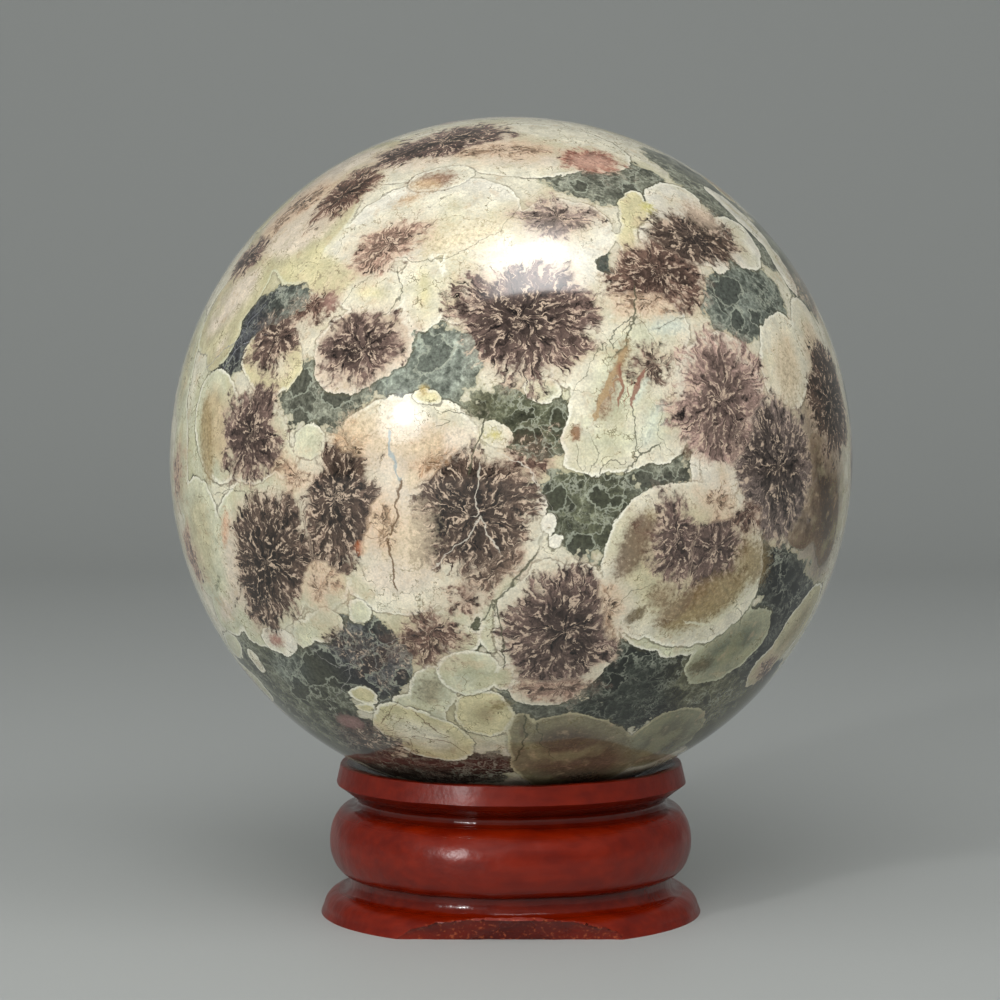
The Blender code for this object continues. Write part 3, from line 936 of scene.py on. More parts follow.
def add_bodies(tree, layer, below, noise):
    """The pale bodies of one layer over what lies below: each has a dark seam round it, a paler rim
    and a flesh that changes some millimetres in. Returns the colour and how far it covers."""
    depth = add_edge_depth(tree, layer + "_depth", noise, 0.22)
    deep = add(
        tree, "ShaderNodeMapRange", {"Value": depth, "From Min": 0.6, "From Max": 2.6, "To Max": 0.9},
        interpolation_type="SMOOTHSTEP",
    )
    outer = add(tree, "ShaderNodeAttribute", attribute_name=layer + "_flesh")
    inner = add(tree, "ShaderNodeAttribute", attribute_name=layer + "_inner")
    colour = add(tree, "ShaderNodeMix", {"Factor": deep, "A": outer, "B": inner}, data_type="RGBA")
    flesh = add_flesh(tree, colour, noise)
    rim = add(
        tree, "ShaderNodeMapRange",
        {"Value": depth, "From Min": 0.08, "From Max": 0.34, "To Min": 0.8, "To Max": 0.0},
        interpolation_type="SMOOTHSTEP",
    )
    rim_breaks = add(
        tree, "ShaderNodeMapRange",
        {"Value": noise["broad"], "From Min": 0.4, "From Max": 0.56, "To Min": 0.25, "To Max": 1.0},
    )
    rim_part = add(tree, "ShaderNodeMath", {0: rim, 1: rim_breaks}, operation="MULTIPLY")
    own = add(tree, "ShaderNodeAttribute", attribute_name=layer + "_rim")
    rimmed = add(tree, "ShaderNodeMix", {"Factor": rim_part, "A": flesh, "B": own}, data_type="RGBA")
    from_edge = add(tree, "ShaderNodeMath", {0: depth, 1: 0.07}, operation="ADD")
    edge = add(tree, "ShaderNodeMath", {0: from_edge}, operation="ABSOLUTE")
    seam = add(
        tree, "ShaderNodeMapRange",
        {"Value": edge, "From Min": 0.02, "From Max": 0.13, "To Min": 0.7, "To Max": 0.0},
        interpolation_type="SMOOTHSTEP",
    )
    seam_breaks = add(
        tree, "ShaderNodeMapRange",
        {"Value": noise["wander"], "From Min": 0.38, "From Max": 0.55, "To Min": 0.35, "To Max": 1.0},
    )
    seam_part = add(tree, "ShaderNodeMath", {0: seam, 1: seam_breaks}, operation="MULTIPLY")
    seamed = add(
        tree, "ShaderNodeMix", {"Factor": seam_part, "A": below, "B": linear(DARK_SEAM)}, data_type="RGBA",
    )
    cover = add(
        tree, "ShaderNodeMapRange", {"Value": depth, "From Min": -0.03, "From Max": 0.04},
        interpolation_type="SMOOTHSTEP",
    )
    covered = add(tree, "ShaderNodeMix", {"Factor": cover, "A": seamed, "B": rimmed}, data_type="RGBA")
    return covered, cover


def fibres(tree, way, outward, reach, steps):
    """Noise drawn out away from a heart's centre, at much the same width near it and far out."""
    rings = []
    for step in steps:
        spread = add(tree, "ShaderNodeVectorMath", {0: way, "Scale": step}, operation="SCALE")
        lift = add(tree, "ShaderNodeCombineXYZ", {"Z": outward})
        at = add(tree, "ShaderNodeVectorMath", {0: spread, 1: lift}, operation="ADD")
        rings.append(add(tree, "ShaderNodeTexNoise", {"Vector": at, "Scale": 1.0, "Detail": 2.0}))
    drawn = rings[0]
    for ring, (begins, full) in zip(rings[1:], FIBRE_CHANGES):
        part = add(
            tree, "ShaderNodeMapRange", {"Value": reach, "From Min": begins, "From Max": full},
            interpolation_type="SMOOTHSTEP",
        )
        drawn = add(tree, "ShaderNodeMix", {"Factor": part, "A": drawn, "B": ring}, data_type="FLOAT")
    return drawn


def add_hearts(tree, below, cover, noise):
    """The dark hearts: fibres and grains that spread from each heart's centre and thin out round it,
    with pale threads curling between them."""
    own = {
        name: add(tree, "ShaderNodeAttribute", attribute_name="heart_" + name)
        for name in ("depth", "fan", "ink", "nature")
    }
    lobes = add(
        tree, "ShaderNodeMapRange", {"Value": noise["broad"], **NOISE_SPREAD, "To Min": -1.0, "To Max": 1.0},
    )
    bays = add(
        tree, "ShaderNodeMapRange", {"Value": noise["wander"], **NOISE_SPREAD, "To Min": -0.7, "To Max": 0.7},
    )
    sway = add(tree, "ShaderNodeMath", {0: lobes, 1: bays}, operation="ADD")
    depth = add(tree, "ShaderNodeMath", {0: own["depth"].outputs["Fac"], 1: sway}, operation="ADD")
    fan = own["fan"].outputs["Vector"]
    ink = own["ink"].outputs["Color"]
    nature = add(tree, "ShaderNodeSeparateXYZ", {0: own["nature"].outputs["Vector"]})
    density, grain = nature.outputs["X"], nature.outputs["Y"]
    curl = add(tree, "ShaderNodeVectorMath", {0: noise["curl"], "Scale": 2.2}, operation="SCALE")
    crimp = add(tree, "ShaderNodeVectorMath", {0: noise["crimp"], "Scale": 0.5}, operation="SCALE")
    curled = add(tree, "ShaderNodeVectorMath", {0: fan, 1: curl}, operation="ADD")
    bent = add(tree, "ShaderNodeVectorMath", {0: curled, 1: crimp}, operation="ADD")
    flat = add(tree, "ShaderNodeVectorMath", {0: bent, 1: (1, 1, 0)}, operation="MULTIPLY")
    reach = add(tree, "ShaderNodeVectorMath", {0: flat}, operation="LENGTH").outputs["Value"]
    way = add(tree, "ShaderNodeVectorMath", {0: flat}, operation="NORMALIZE")
    seed = add(tree, "ShaderNodeSeparateXYZ", {0: fan}).outputs["Z"]
    outward = add(tree, "ShaderNodeMath", {0: reach, 1: 0.5, 2: seed}, operation="MULTIPLY_ADD")
    outward_fine = add(tree, "ShaderNodeMath", {0: reach, 1: 0.95, 2: seed}, operation="MULTIPLY_ADD")
    coarse = fibres(tree, way, outward, reach, FIBRE_STEPS)
    hair = fibres(tree, way, outward_fine, reach, [step * HAIR_FINENESS for step in FIBRE_STEPS])
    grains = add(tree, "ShaderNodeTexNoise", {"Vector": noise["mm"], "Scale": 1.7, "Detail": 3.0})
    grit = add(tree, "ShaderNodeTexNoise", {"Vector": noise["mm"], "Scale": 3.6, "Detail": 2.0})
    large = add(
        tree, "ShaderNodeMix", {"Factor": grain, "A": coarse, "B": grains}, data_type="FLOAT",
    )
    hairy = add(tree, "ShaderNodeMath", {0: grain, 1: 0.4}, operation="MULTIPLY")
    small = add(tree, "ShaderNodeMix", {"Factor": hairy, "A": hair, "B": grit}, data_type="FLOAT")
    other = add(tree, "ShaderNodeMath", {0: 1.0, 1: small}, operation="SUBTRACT")
    value = add(tree, "ShaderNodeMix", {"Factor": 0.45, "A": large, "B": other}, data_type="FLOAT")
    thinning = add(
        tree, "ShaderNodeMapRange",
        {"Value": depth, "From Min": -1.8, "From Max": 1.3, "To Min": 0.66, "To Max": 0.33},
    )
    fullness = add(tree, "ShaderNodeMath", {0: density, 1: -0.2, 2: 0.2}, operation="MULTIPLY_ADD")
    level = add(tree, "ShaderNodeMath", {0: thinning, 1: fullness}, operation="ADD")
    above = add(tree, "ShaderNodeMath", {0: value, 1: level}, operation="SUBTRACT")
    dark = add(
        tree, "ShaderNodeMapRange", {"Value": above, "From Min": -0.06, "From Max": 0.09},
        interpolation_type="SMOOTHSTEP",
    )
    on_body = add(tree, "ShaderNodeMath", {0: cover, 1: 0.75, 2: 0.25}, operation="MULTIPLY_ADD")
    dark_part = add(tree, "ShaderNodeMath", {0: dark, 1: on_body}, operation="MULTIPLY")
    halo = add(
        tree, "ShaderNodeMapRange",
        {"Value": depth, "From Min": -2.2, "From Max": 0.6, "To Min": 0.0, "To Max": 0.6},
        interpolation_type="SMOOTHSTEP",
    )
    halo_part = add(tree, "ShaderNodeMath", {0: halo, 1: cover}, operation="MULTIPLY")
    haloed = add(
        tree, "ShaderNodeMix", {"Factor": halo_part, "A": below, "B": linear(HEART_HALO)}, data_type="RGBA",
    )
    stain = add(
        tree, "ShaderNodeMapRange",
        {"Value": depth, "From Min": -0.7, "From Max": 1.3, "To Min": 0.0, "To Max": 0.8},
        interpolation_type="SMOOTHSTEP",
    )
    stain_full = add(tree, "ShaderNodeMath", {0: stain, 1: on_body}, operation="MULTIPLY")
    stain_part = add(tree, "ShaderNodeMath", {0: stain_full, 1: density}, operation="MULTIPLY")
    bright_ink = add(tree, "ShaderNodeVectorMath", {0: ink, "Scale": 3.0}, operation="SCALE")
    stained = add(
        tree, "ShaderNodeMix", {"Factor": stain_part, "A": haloed, "B": bright_ink}, data_type="RGBA",
    )
    depth_tone = add(
        tree, "ShaderNodeMapRange",
        {"Value": depth, "From Min": 0.0, "From Max": 3.0, "To Min": 1.0, "To Max": 0.35},
    )
    hair_tone = add(
        tree, "ShaderNodeMapRange", {"Value": small, **NOISE_SPREAD, "To Min": 0.1, "To Max": 2.4},
    )
    clump_tone = add(
        tree, "ShaderNodeMapRange",
        {"Value": coarse, "From Min": 0.35, "From Max": 0.65, "To Min": 0.6, "To Max": 1.8},
    )
    strand_tone = add(tree, "ShaderNodeMath", {0: clump_tone, 1: hair_tone}, operation="MULTIPLY")
    tone = add(tree, "ShaderNodeMath", {0: depth_tone, 1: strand_tone}, operation="MULTIPLY")
    inked = add(tree, "ShaderNodeVectorMath", {0: ink, "Scale": tone}, operation="SCALE")
    filled = add(tree, "ShaderNodeMix", {"Factor": dark_part, "A": stained, "B": inked}, data_type="RGBA")
    thread = add(
        tree, "ShaderNodeMapRange", {"Value": small, "From Min": 0.53, "From Max": 0.61, "To Max": 0.8},
        interpolation_type="SMOOTHSTEP",
    )
    sparse = add(
        tree, "ShaderNodeMapRange", {"Value": grains, "From Min": 0.38, "From Max": 0.5},
        interpolation_type="SMOOTHSTEP",
    )
    near_heart = add(
        tree, "ShaderNodeMapRange", {"Value": depth, "From Min": -1.0, "From Max": 0.3},
        interpolation_type="SMOOTHSTEP",
    )
    thread_here = add(tree, "ShaderNodeMath", {0: thread, 1: sparse}, operation="MULTIPLY")
    thread_part = add(tree, "ShaderNodeMath", {0: thread_here, 1: near_heart}, operation="MULTIPLY")
    return add(
        tree, "ShaderNodeMix", {"Factor": thread_part, "A": filled, "B": linear(PALE_THREAD)},
        data_type="RGBA",
    )


def add_spots_and_lines(tree, below, noise):
    """Stains and spots, then cracks and seams, over everything."""
    cover = add(tree, "ShaderNodeAttribute", attribute_name="spot_cover").outputs["Fac"]
    patchy = add(
        tree, "ShaderNodeMapRange", {"Value": noise["fine"], **NOISE_SPREAD, "To Min": -0.35, "To Max": 0.35},
    )
    bitten = add(tree, "ShaderNodeMath", {0: cover, 1: patchy}, operation="ADD")
    part = add(
        tree, "ShaderNodeMapRange", {"Value": bitten, "From Min": 0.25, "From Max": 0.9, "To Max": 0.8},
    )
    speckle = add(
        tree, "ShaderNodeMapRange", {"Value": noise["fine"], **NOISE_SPREAD, "To Min": 1.45, "To Max": 0.55},
    )
    own = add(tree, "ShaderNodeAttribute", attribute_name="spot_colour")
    mottled = add(tree, "ShaderNodeVectorMath", {0: own, "Scale": speckle}, operation="SCALE")
    spotted = add(tree, "ShaderNodeMix", {"Factor": part, "A": below, "B": mottled}, data_type="RGBA")
    sway = add(
        tree, "ShaderNodeMapRange",
        {"Value": noise["wander"], **NOISE_SPREAD, "To Min": -0.25, "To Max": 0.25},
    )
    side = add(tree, "ShaderNodeAttribute", attribute_name="line_side").outputs["Fac"]
    half = add(tree, "ShaderNodeAttribute", attribute_name="line_half").outputs["Fac"]
    inked = add(tree, "ShaderNodeAttribute", attribute_name="line_colour")
    aside = add(tree, "ShaderNodeMath", {0: side, 1: sway}, operation="ADD")
    distance = add(tree, "ShaderNodeMath", {0: aside}, operation="ABSOLUTE")
    inside = add(tree, "ShaderNodeMath", {0: half, 1: distance}, operation="SUBTRACT")
    line = add(
        tree, "ShaderNodeMapRange", {"Value": inside, "From Min": -0.04, "From Max": 0.05, "To Max": 0.85},
        interpolation_type="SMOOTHSTEP",
    )
    return add(tree, "ShaderNodeMix", {"Factor": line, "A": spotted, "B": inked}, data_type="RGBA")


def stone_material():
    material, tree = new_material("polished_flower_rhyolite")
    noise = stone_noises(tree)
    base, pale = add_base(tree, noise)
    lower, lower_cover = add_bodies(tree, "back", base, noise)
    upper, upper_cover = add_bodies(tree, "front", lower, noise)
    covered = add(tree, "ShaderNodeMath", {0: lower_cover, 1: upper_cover}, operation="MAXIMUM")
    cover = add(tree, "ShaderNodeMath", {0: covered, 1: pale}, operation="MAXIMUM")
    hearts = add_hearts(tree, upper, cover, noise)
    marked = add_spots_and_lines(tree, hearts, noise)
    grit = add(tree, "ShaderNodeTexNoise", {"Vector": noise["mm"], "Scale": 6.5, "Detail": 3.0})
    grain = add(
        tree, "ShaderNodeMapRange", {"Value": grit, **NOISE_SPREAD, "To Min": 0.85, "To Max": 1.13},
    )
    colour = add(tree, "ShaderNodeVectorMath", {0: marked, "Scale": grain}, operation="SCALE")
    shader = add(tree, "ShaderNodeBsdfPrincipled", {"Base Color": colour, "Roughness": 0.09, "IOR": 1.54})
    add(tree, "ShaderNodeOutputMaterial", {"Surface": shader})
    return material


# Red lacquer over turned hardwood: brushed on thick and glossy, with a slight orange peel. It is smoother
# where it gathers in the grooves, and its colour is darkened there and in the bore as painted shade.
# The sawn flats are rough, with pale specks that stand for chips in the lacquer and for painted glints.

LACQUER_DEEP = "5B0D00"
LACQUER_BRIGHT = "701600"
# Pale specks: partly chips in the lacquer, partly painted glints of the rough sawn flats
CHIP_AND_GLINT = "A4502E"


def lacquer_material():
    material, tree = new_material("red_lacquered_wood")
    place = add(tree, "ShaderNodeTexCoord")
    mm = add(tree, "ShaderNodeVectorMath", {0: place.outputs["Object"], "Scale": 1 / MM}, operation="SCALE")
    streak_place = add(tree, "ShaderNodeVectorMath", {0: mm, 1: (0.25, 1.6, 1.6)}, operation="MULTIPLY")
    streak = add(tree, "ShaderNodeTexNoise", {"Vector": streak_place, "Scale": 1.0, "Detail": 3.0})
    blotch = add(tree, "ShaderNodeTexNoise", {"Vector": mm, "Scale": 0.5, "Detail": 3.0})
    mixed = add(tree, "ShaderNodeMath", {0: streak, 1: blotch}, operation="ADD")
    part = add(tree, "ShaderNodeMapRange", {"Value": mixed, "From Min": 0.75, "From Max": 1.25})
    colour = add(
        tree, "ShaderNodeMix", {"Factor": part, "A": linear(LACQUER_DEEP), "B": linear(LACQUER_BRIGHT)},
        data_type="RGBA",
    )
    parts = add(tree, "ShaderNodeSeparateXYZ", {0: mm})
    level = add(tree, "ShaderNodeVectorMath", {0: mm, 1: (1, 1, 0)}, operation="MULTIPLY")
    radius = add(tree, "ShaderNodeVectorMath", {0: level}, operation="LENGTH").outputs["Value"]
    # Painted shade: the colour darkens towards the grooves and the bore, the smaller the radius the darker
    groove_shade = add(
        tree, "ShaderNodeMapRange",
        {"Value": radius, "From Min": NECK_RADIUS, "From Max": 13.9, "To Min": 0.5, "To Max": 1.0},
    )
    shaded = add(tree, "ShaderNodeVectorMath", {0: colour, "Scale": groove_shade}, operation="SCALE")
    front = add(tree, "ShaderNodeMath", {0: parts.outputs["Y"]}, operation="ABSOLUTE")
    plane = add(
        tree, "ShaderNodeMath", {0: parts.outputs["Z"], 1: math.tan(FLAT_LEAN), 2: FLAT_DISTANCE},
        operation="MULTIPLY_ADD",
    )
    under = add(tree, "ShaderNodeMath", {0: plane, 1: front}, operation="SUBTRACT")
    on_flat = add(
        tree, "ShaderNodeMapRange",
        {"Value": under, "From Min": 0.25, "From Max": 0.45, "To Min": 1.0, "To Max": 0.0},
    )
    # Pale specks on the sawn flats: partly chips in the lacquer, partly painted glints
    chip_and_glint_noise = add(tree, "ShaderNodeTexNoise", {"Vector": mm, "Scale": 3.6, "Detail": 3.0})
    chip_and_glint_mask = add(
        tree, "ShaderNodeMapRange", {"Value": chip_and_glint_noise, "From Min": 0.57, "From Max": 0.68, "To Max": 0.75},
    )
    chip_and_glint_part = add(tree, "ShaderNodeMath", {0: chip_and_glint_mask, 1: on_flat}, operation="MULTIPLY")
    chipped_and_glinting = add(
        tree, "ShaderNodeMix", {"Factor": chip_and_glint_part, "A": shaded, "B": linear(CHIP_AND_GLINT)}, data_type="RGBA",
    )
    pooled = add(
        tree, "ShaderNodeMapRange",
        {"Value": radius, "From Min": NECK_RADIUS, "From Max": 14.2, "To Min": 0.12, "To Max": 0.29},
    )
    on_rim = add(
        tree, "ShaderNodeMapRange",
        {"Value": parts.outputs["Z"], "From Min": NECK_TOP, "From Max": RIM_BOTTOM, "To Max": 0.08},
    )
    turned = add(tree, "ShaderNodeMath", {0: pooled, 1: on_rim}, operation="ADD")
    roughness = add(tree, "ShaderNodeMath", {0: on_flat, 1: 0.1, 2: turned}, operation="MULTIPLY_ADD")
    peel = add(tree, "ShaderNodeTexNoise", {"Vector": mm, "Scale": 1.6, "Detail": 2.0})
    bump = add(tree, "ShaderNodeBump", {"Height": peel, "Strength": 0.5, "Distance": 0.00006})
    shader = add(
        tree, "ShaderNodeBsdfPrincipled",
        {"Base Color": chipped_and_glinting, "Roughness": roughness, "IOR": 1.45, "Normal": bump},
    )
    add(tree, "ShaderNodeOutputMaterial", {"Surface": shader})
    return material


# Plain painted board, matt and pale, so that it shows soft shadows and no reflections

FLOOR_GREY = "ADB0AE"


def floor_material():
    material, tree = new_material("plain_matt_floor")
    shader = add(tree, "ShaderNodeBsdfPrincipled", {"Base Color": linear(FLOOR_GREY), "Roughness": 0.6})
    add(tree, "ShaderNodeOutputMaterial", {"Surface": shader})
    return material


# Shapes, each made by a node tree on a modifier and then kept as a plain mesh

def shape_tree(name, inputs):
    """An empty node tree with named inputs. Returns the tree and its input and output nodes."""
    tree = bpy.data.node_groups.new(name, "GeometryNodeTree")
    tree.interface.new_socket("Geometry", in_out="INPUT", socket_type="NodeSocketGeometry")
    for label, kind in inputs.items():
        tree.interface.new_socket(label, in_out="INPUT", socket_type=kind)
    tree.interface.new_socket("Geometry", in_out="OUTPUT", socket_type="NodeSocketGeometry")
    return tree, tree.nodes.new("NodeGroupInput"), tree.nodes.new("NodeGroupOutput")


def grown(name, tree, start, values):
    """The mesh object that a node tree makes of a starting mesh, with the tree's inputs set by label."""
    seedling = bpy.data.objects.new(name + "_start", start)
    bpy.context.scene.collection.objects.link(seedling)
    modifier = seedling.modifiers.new(name, "NODES")
    modifier.node_group = tree
    for item in tree.interface.items_tree:
        if item.in_out == "INPUT" and item.name in values:
            modifier[item.identifier] = values[item.name]
    depsgraph = bpy.context.evaluated_depsgraph_get()
    mesh = bpy.data.meshes.new_from_object(seedling.evaluated_get(depsgraph))
    mesh.name = name
    made = bpy.data.objects.new(name, mesh)
    bpy.context.scene.collection.objects.link(made)
    bpy.data.objects.remove(seedling)
    return made


BALL_GRID = 128  # points along each edge of the cube that the ball is blown up from


def ball_tree(material):
    """A finely divided cube blown up to a ball, so that the mesh is even and has no poles."""
    inputs = {"Radius": "NodeSocketFloat", "Centre": "NodeSocketVector", "Grid": "NodeSocketInt"}
    tree, given, result = shape_tree("ball_from_cube", inputs)
    grid = given.outputs["Grid"]
    cube = add(
        tree, "GeometryNodeMeshCube",
        {"Size": (2, 2, 2), "Vertices X": grid, "Vertices Y": grid, "Vertices Z": grid},
    )
    place = add(tree, "GeometryNodeInputPosition")
    turned = add(tree, "ShaderNodeVectorMath", {0: place, "Scale": math.pi / 4}, operation="SCALE")
    even = add(tree, "ShaderNodeVectorMath", {0: turned}, operation="TANGENT")
    unit = add(tree, "ShaderNodeVectorMath", {0: even}, operation="NORMALIZE")
    sized = add(tree, "ShaderNodeVectorMath", {0: unit, "Scale": given.outputs["Radius"]}, operation="SCALE")
    moved = add(tree, "ShaderNodeVectorMath", {0: sized, 1: given.outputs["Centre"]}, operation="ADD")
    ball = add(tree, "GeometryNodeSetPosition", {"Geometry": cube.outputs["Mesh"], "Position": moved})
    real = add(tree, "GeometryNodeRealizeInstances", {"Geometry": ball})
    painted = add(tree, "GeometryNodeSetMaterial", {"Geometry": real, "Material": material})
    tree.links.new(painted.outputs[0], result.inputs[0])
    return tree


def write_attribute(mesh, name, kind, values):
    """Write one value, vector or colour for each of the mesh's points. Colours get an alpha of 1."""
    made = mesh.attributes.new(name, kind, "POINT")
    if kind == "FLOAT_COLOR":
        values = np.concatenate([values, np.ones((len(values), 1))], axis=1)
    field = {"FLOAT": "value", "FLOAT_VECTOR": "vector", "FLOAT_COLOR": "color"}[kind]
    made.data.foreach_set(field, np.ascontiguousarray(values, dtype=np.float32).ravel())


def paint_ball(mesh):
    """Write the pattern onto the ball's points."""
    flat = np.empty(len(mesh.vertices) * 3, dtype=np.float32)
    mesh.vertices.foreach_get("co", flat)
    points = flat.reshape(-1, 3).astype(float) - np.array(BALL_CENTRE)
    points /= np.linalg.norm(points, axis=1, keepdims=True)
    for layer, label in ((BACK, "back"), (FRONT, "front")):
        depth, *colours = layer_attributes(points, layer)
        write_attribute(mesh, label + "_depth", "FLOAT", depth)
        for part, colour in zip(("_flesh", "_inner", "_rim"), colours):
            write_attribute(mesh, label + part, "FLOAT_COLOR", colour)
    depth, fan, ink, nature = heart_attributes(points)
    write_attribute(mesh, "heart_depth", "FLOAT", depth)
    write_attribute(mesh, "heart_fan", "FLOAT_VECTOR", fan)
    write_attribute(mesh, "heart_ink", "FLOAT_COLOR", ink)
    write_attribute(mesh, "heart_nature", "FLOAT_VECTOR", nature)
    depth = np.max([depth_inside(points, each.patch) for each in GROUND], axis=0)
    write_attribute(mesh, "ground_depth", "FLOAT", depth)
    write_attribute(mesh, "ground", "FLOAT_COLOR", mark_attributes(points, GROUND, GREY_GREEN))
    write_attribute(mesh, "base", "FLOAT_COLOR", mark_attributes(points, BASE_TINTS, CREAM))
    pebble = np.max([depth_inside(points, patch) for patch in PEBBLES], axis=0)
    write_attribute(mesh, "pebble", "FLOAT", pebble)
    cover, colour = spot_attributes(points)
    write_attribute(mesh, "spot_cover", "FLOAT", cover)
    write_attribute(mesh, "spot_colour", "FLOAT_COLOR", colour)
    side, half_width, colour = line_attributes(points)
    write_attribute(mesh, "line_side", "FLOAT", side)
    write_attribute(mesh, "line_half", "FLOAT", half_width)
    write_attribute(mesh, "line_colour", "FLOAT_COLOR", colour)


def make_ball():
    tree = ball_tree(stone_material())
    values = {"Radius": BALL_RADIUS, "Centre": BALL_CENTRE, "Grid": BALL_GRID}
    ball = grown("polished_stone_ball", tree, bpy.data.meshes.new("seed"), values)
    ball.data.shade_smooth()
    paint_ball(ball.data)
    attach(ball, "root")
    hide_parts("stone_ball")


# The ring stand's section, in millimetres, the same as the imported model's but cut finer
BORE_RADIUS = 10.0
MOUTH_RADIUS = 13.14
RIM_TOP_RADIUS = 14.07
RIM_RADIUS = 14.37
RIM_EDGE = 0.25
RIM_BOTTOM = 10.55
NECK_RADIUS = 12.70
NECK_REACH = 0.25
NECK_TOP = 9.45
BELLY_TOP = 8.85
BELLY_RADIUS = 14.87
BELLY_BOTTOM = 3.05
WAIST_RADIUS = 13.25
COVE_REACH = 0.50
COVE_TOP = 2.85
LIP_TOP = 2.00
FOOT_RADIUS = 15.45
FOOT_EDGE = 0.20
FLAT_DISTANCE = 12.70
FLAT_LEAN = math.radians(38)
TURNING_STEPS = 256
SAW_RIPPLE = 1.0  # how unevenly the flats are sawn
HAND_WEAR = 0.35  # how far the turned wood dips in places
ARC_STEP = 0.16  # mm between points along a curve of the section
SHARP_EDGE = math.radians(35)
SAW_BLOCK = (0.06, 0.02, 0.02)  # metres, the block that saws a flat
SAW_CUTS = (120, 40)  # points along the block's length and height
RIPPLES_PER_MM = 0.5  # of the saw
DIPS_PER_MM = 0.22  # of the hand wear
SOLE_EDGE = 0.5  # mm above the underside, over which the wear sets in


def arc(centre, reach, start, end):
    """Points (radius, height) along an arc of an ellipse, in millimetres and degrees."""
    run = math.radians(abs(end - start)) * max(reach)
    steps = max(3, round(run / ARC_STEP))
    angles = [math.radians(start + (end - start) * step / steps) for step in range(steps + 1)]
    return [(centre[0] + reach[0] * math.cos(a), centre[1] + reach[1] * math.sin(a)) for a in angles]


def stand_section():
    """The section as points (radius, height): down the outside, across the underside and up the bore."""
    top = STAND_HEIGHT / MM
    ball_z = BALL_CENTRE.z / MM
    seat_radius = math.hypot(MOUTH_RADIUS, ball_z - top)
    rim = arc((RIM_TOP_RADIUS - RIM_EDGE, top - RIM_EDGE), (RIM_EDGE, RIM_EDGE), 90, 0)
    shoulder = NECK_RADIUS + NECK_REACH
    neck_middle = (BELLY_TOP + NECK_TOP) / 2
    neck = arc((shoulder, neck_middle), (NECK_REACH, (NECK_TOP - BELLY_TOP) / 2), 90, 270)
    middle = (BELLY_BOTTOM + BELLY_TOP) / 2
    half = (BELLY_TOP - BELLY_BOTTOM) / 2
    upper = arc((shoulder, middle), (BELLY_RADIUS - shoulder, half), 90, 0)
    lower = arc((WAIST_RADIUS, middle), (BELLY_RADIUS - WAIST_RADIUS, half), 0, -90)
    cove_end = WAIST_RADIUS + COVE_REACH
    hollow = arc((cove_end, COVE_TOP), (COVE_REACH, COVE_TOP - LIP_TOP), 180, 270)
    lip = arc((cove_end, FOOT_EDGE), (FOOT_RADIUS - cove_end, LIP_TOP - FOOT_EDGE), 90, 0)
    inner = math.degrees(math.asin(BORE_RADIUS / seat_radius)) - 90
    outer = math.degrees(math.asin(MOUTH_RADIUS / seat_radius)) - 90
    seat = arc((0, ball_z), (seat_radius, seat_radius), inner, outer)
    outline = rim + [(RIM_RADIUS, RIM_BOTTOM)] + neck + upper[1:] + lower[1:] + hollow + lip[1:]
    return outline + [(FOOT_RADIUS, 0), (BORE_RADIUS, 0)] + seat


def section_mesh():
    """The section as a closed loop of edges, offset from the turning circle's own radius."""
    points = [((radius - BORE_RADIUS) * MM, -height * MM, 0) for radius, height in stand_section()]
    edges = [(i, (i + 1) % len(points)) for i in range(len(points))]
    mesh = bpy.data.meshes.new("stand_section")
    mesh.from_pydata(points, edges, [])
    return mesh


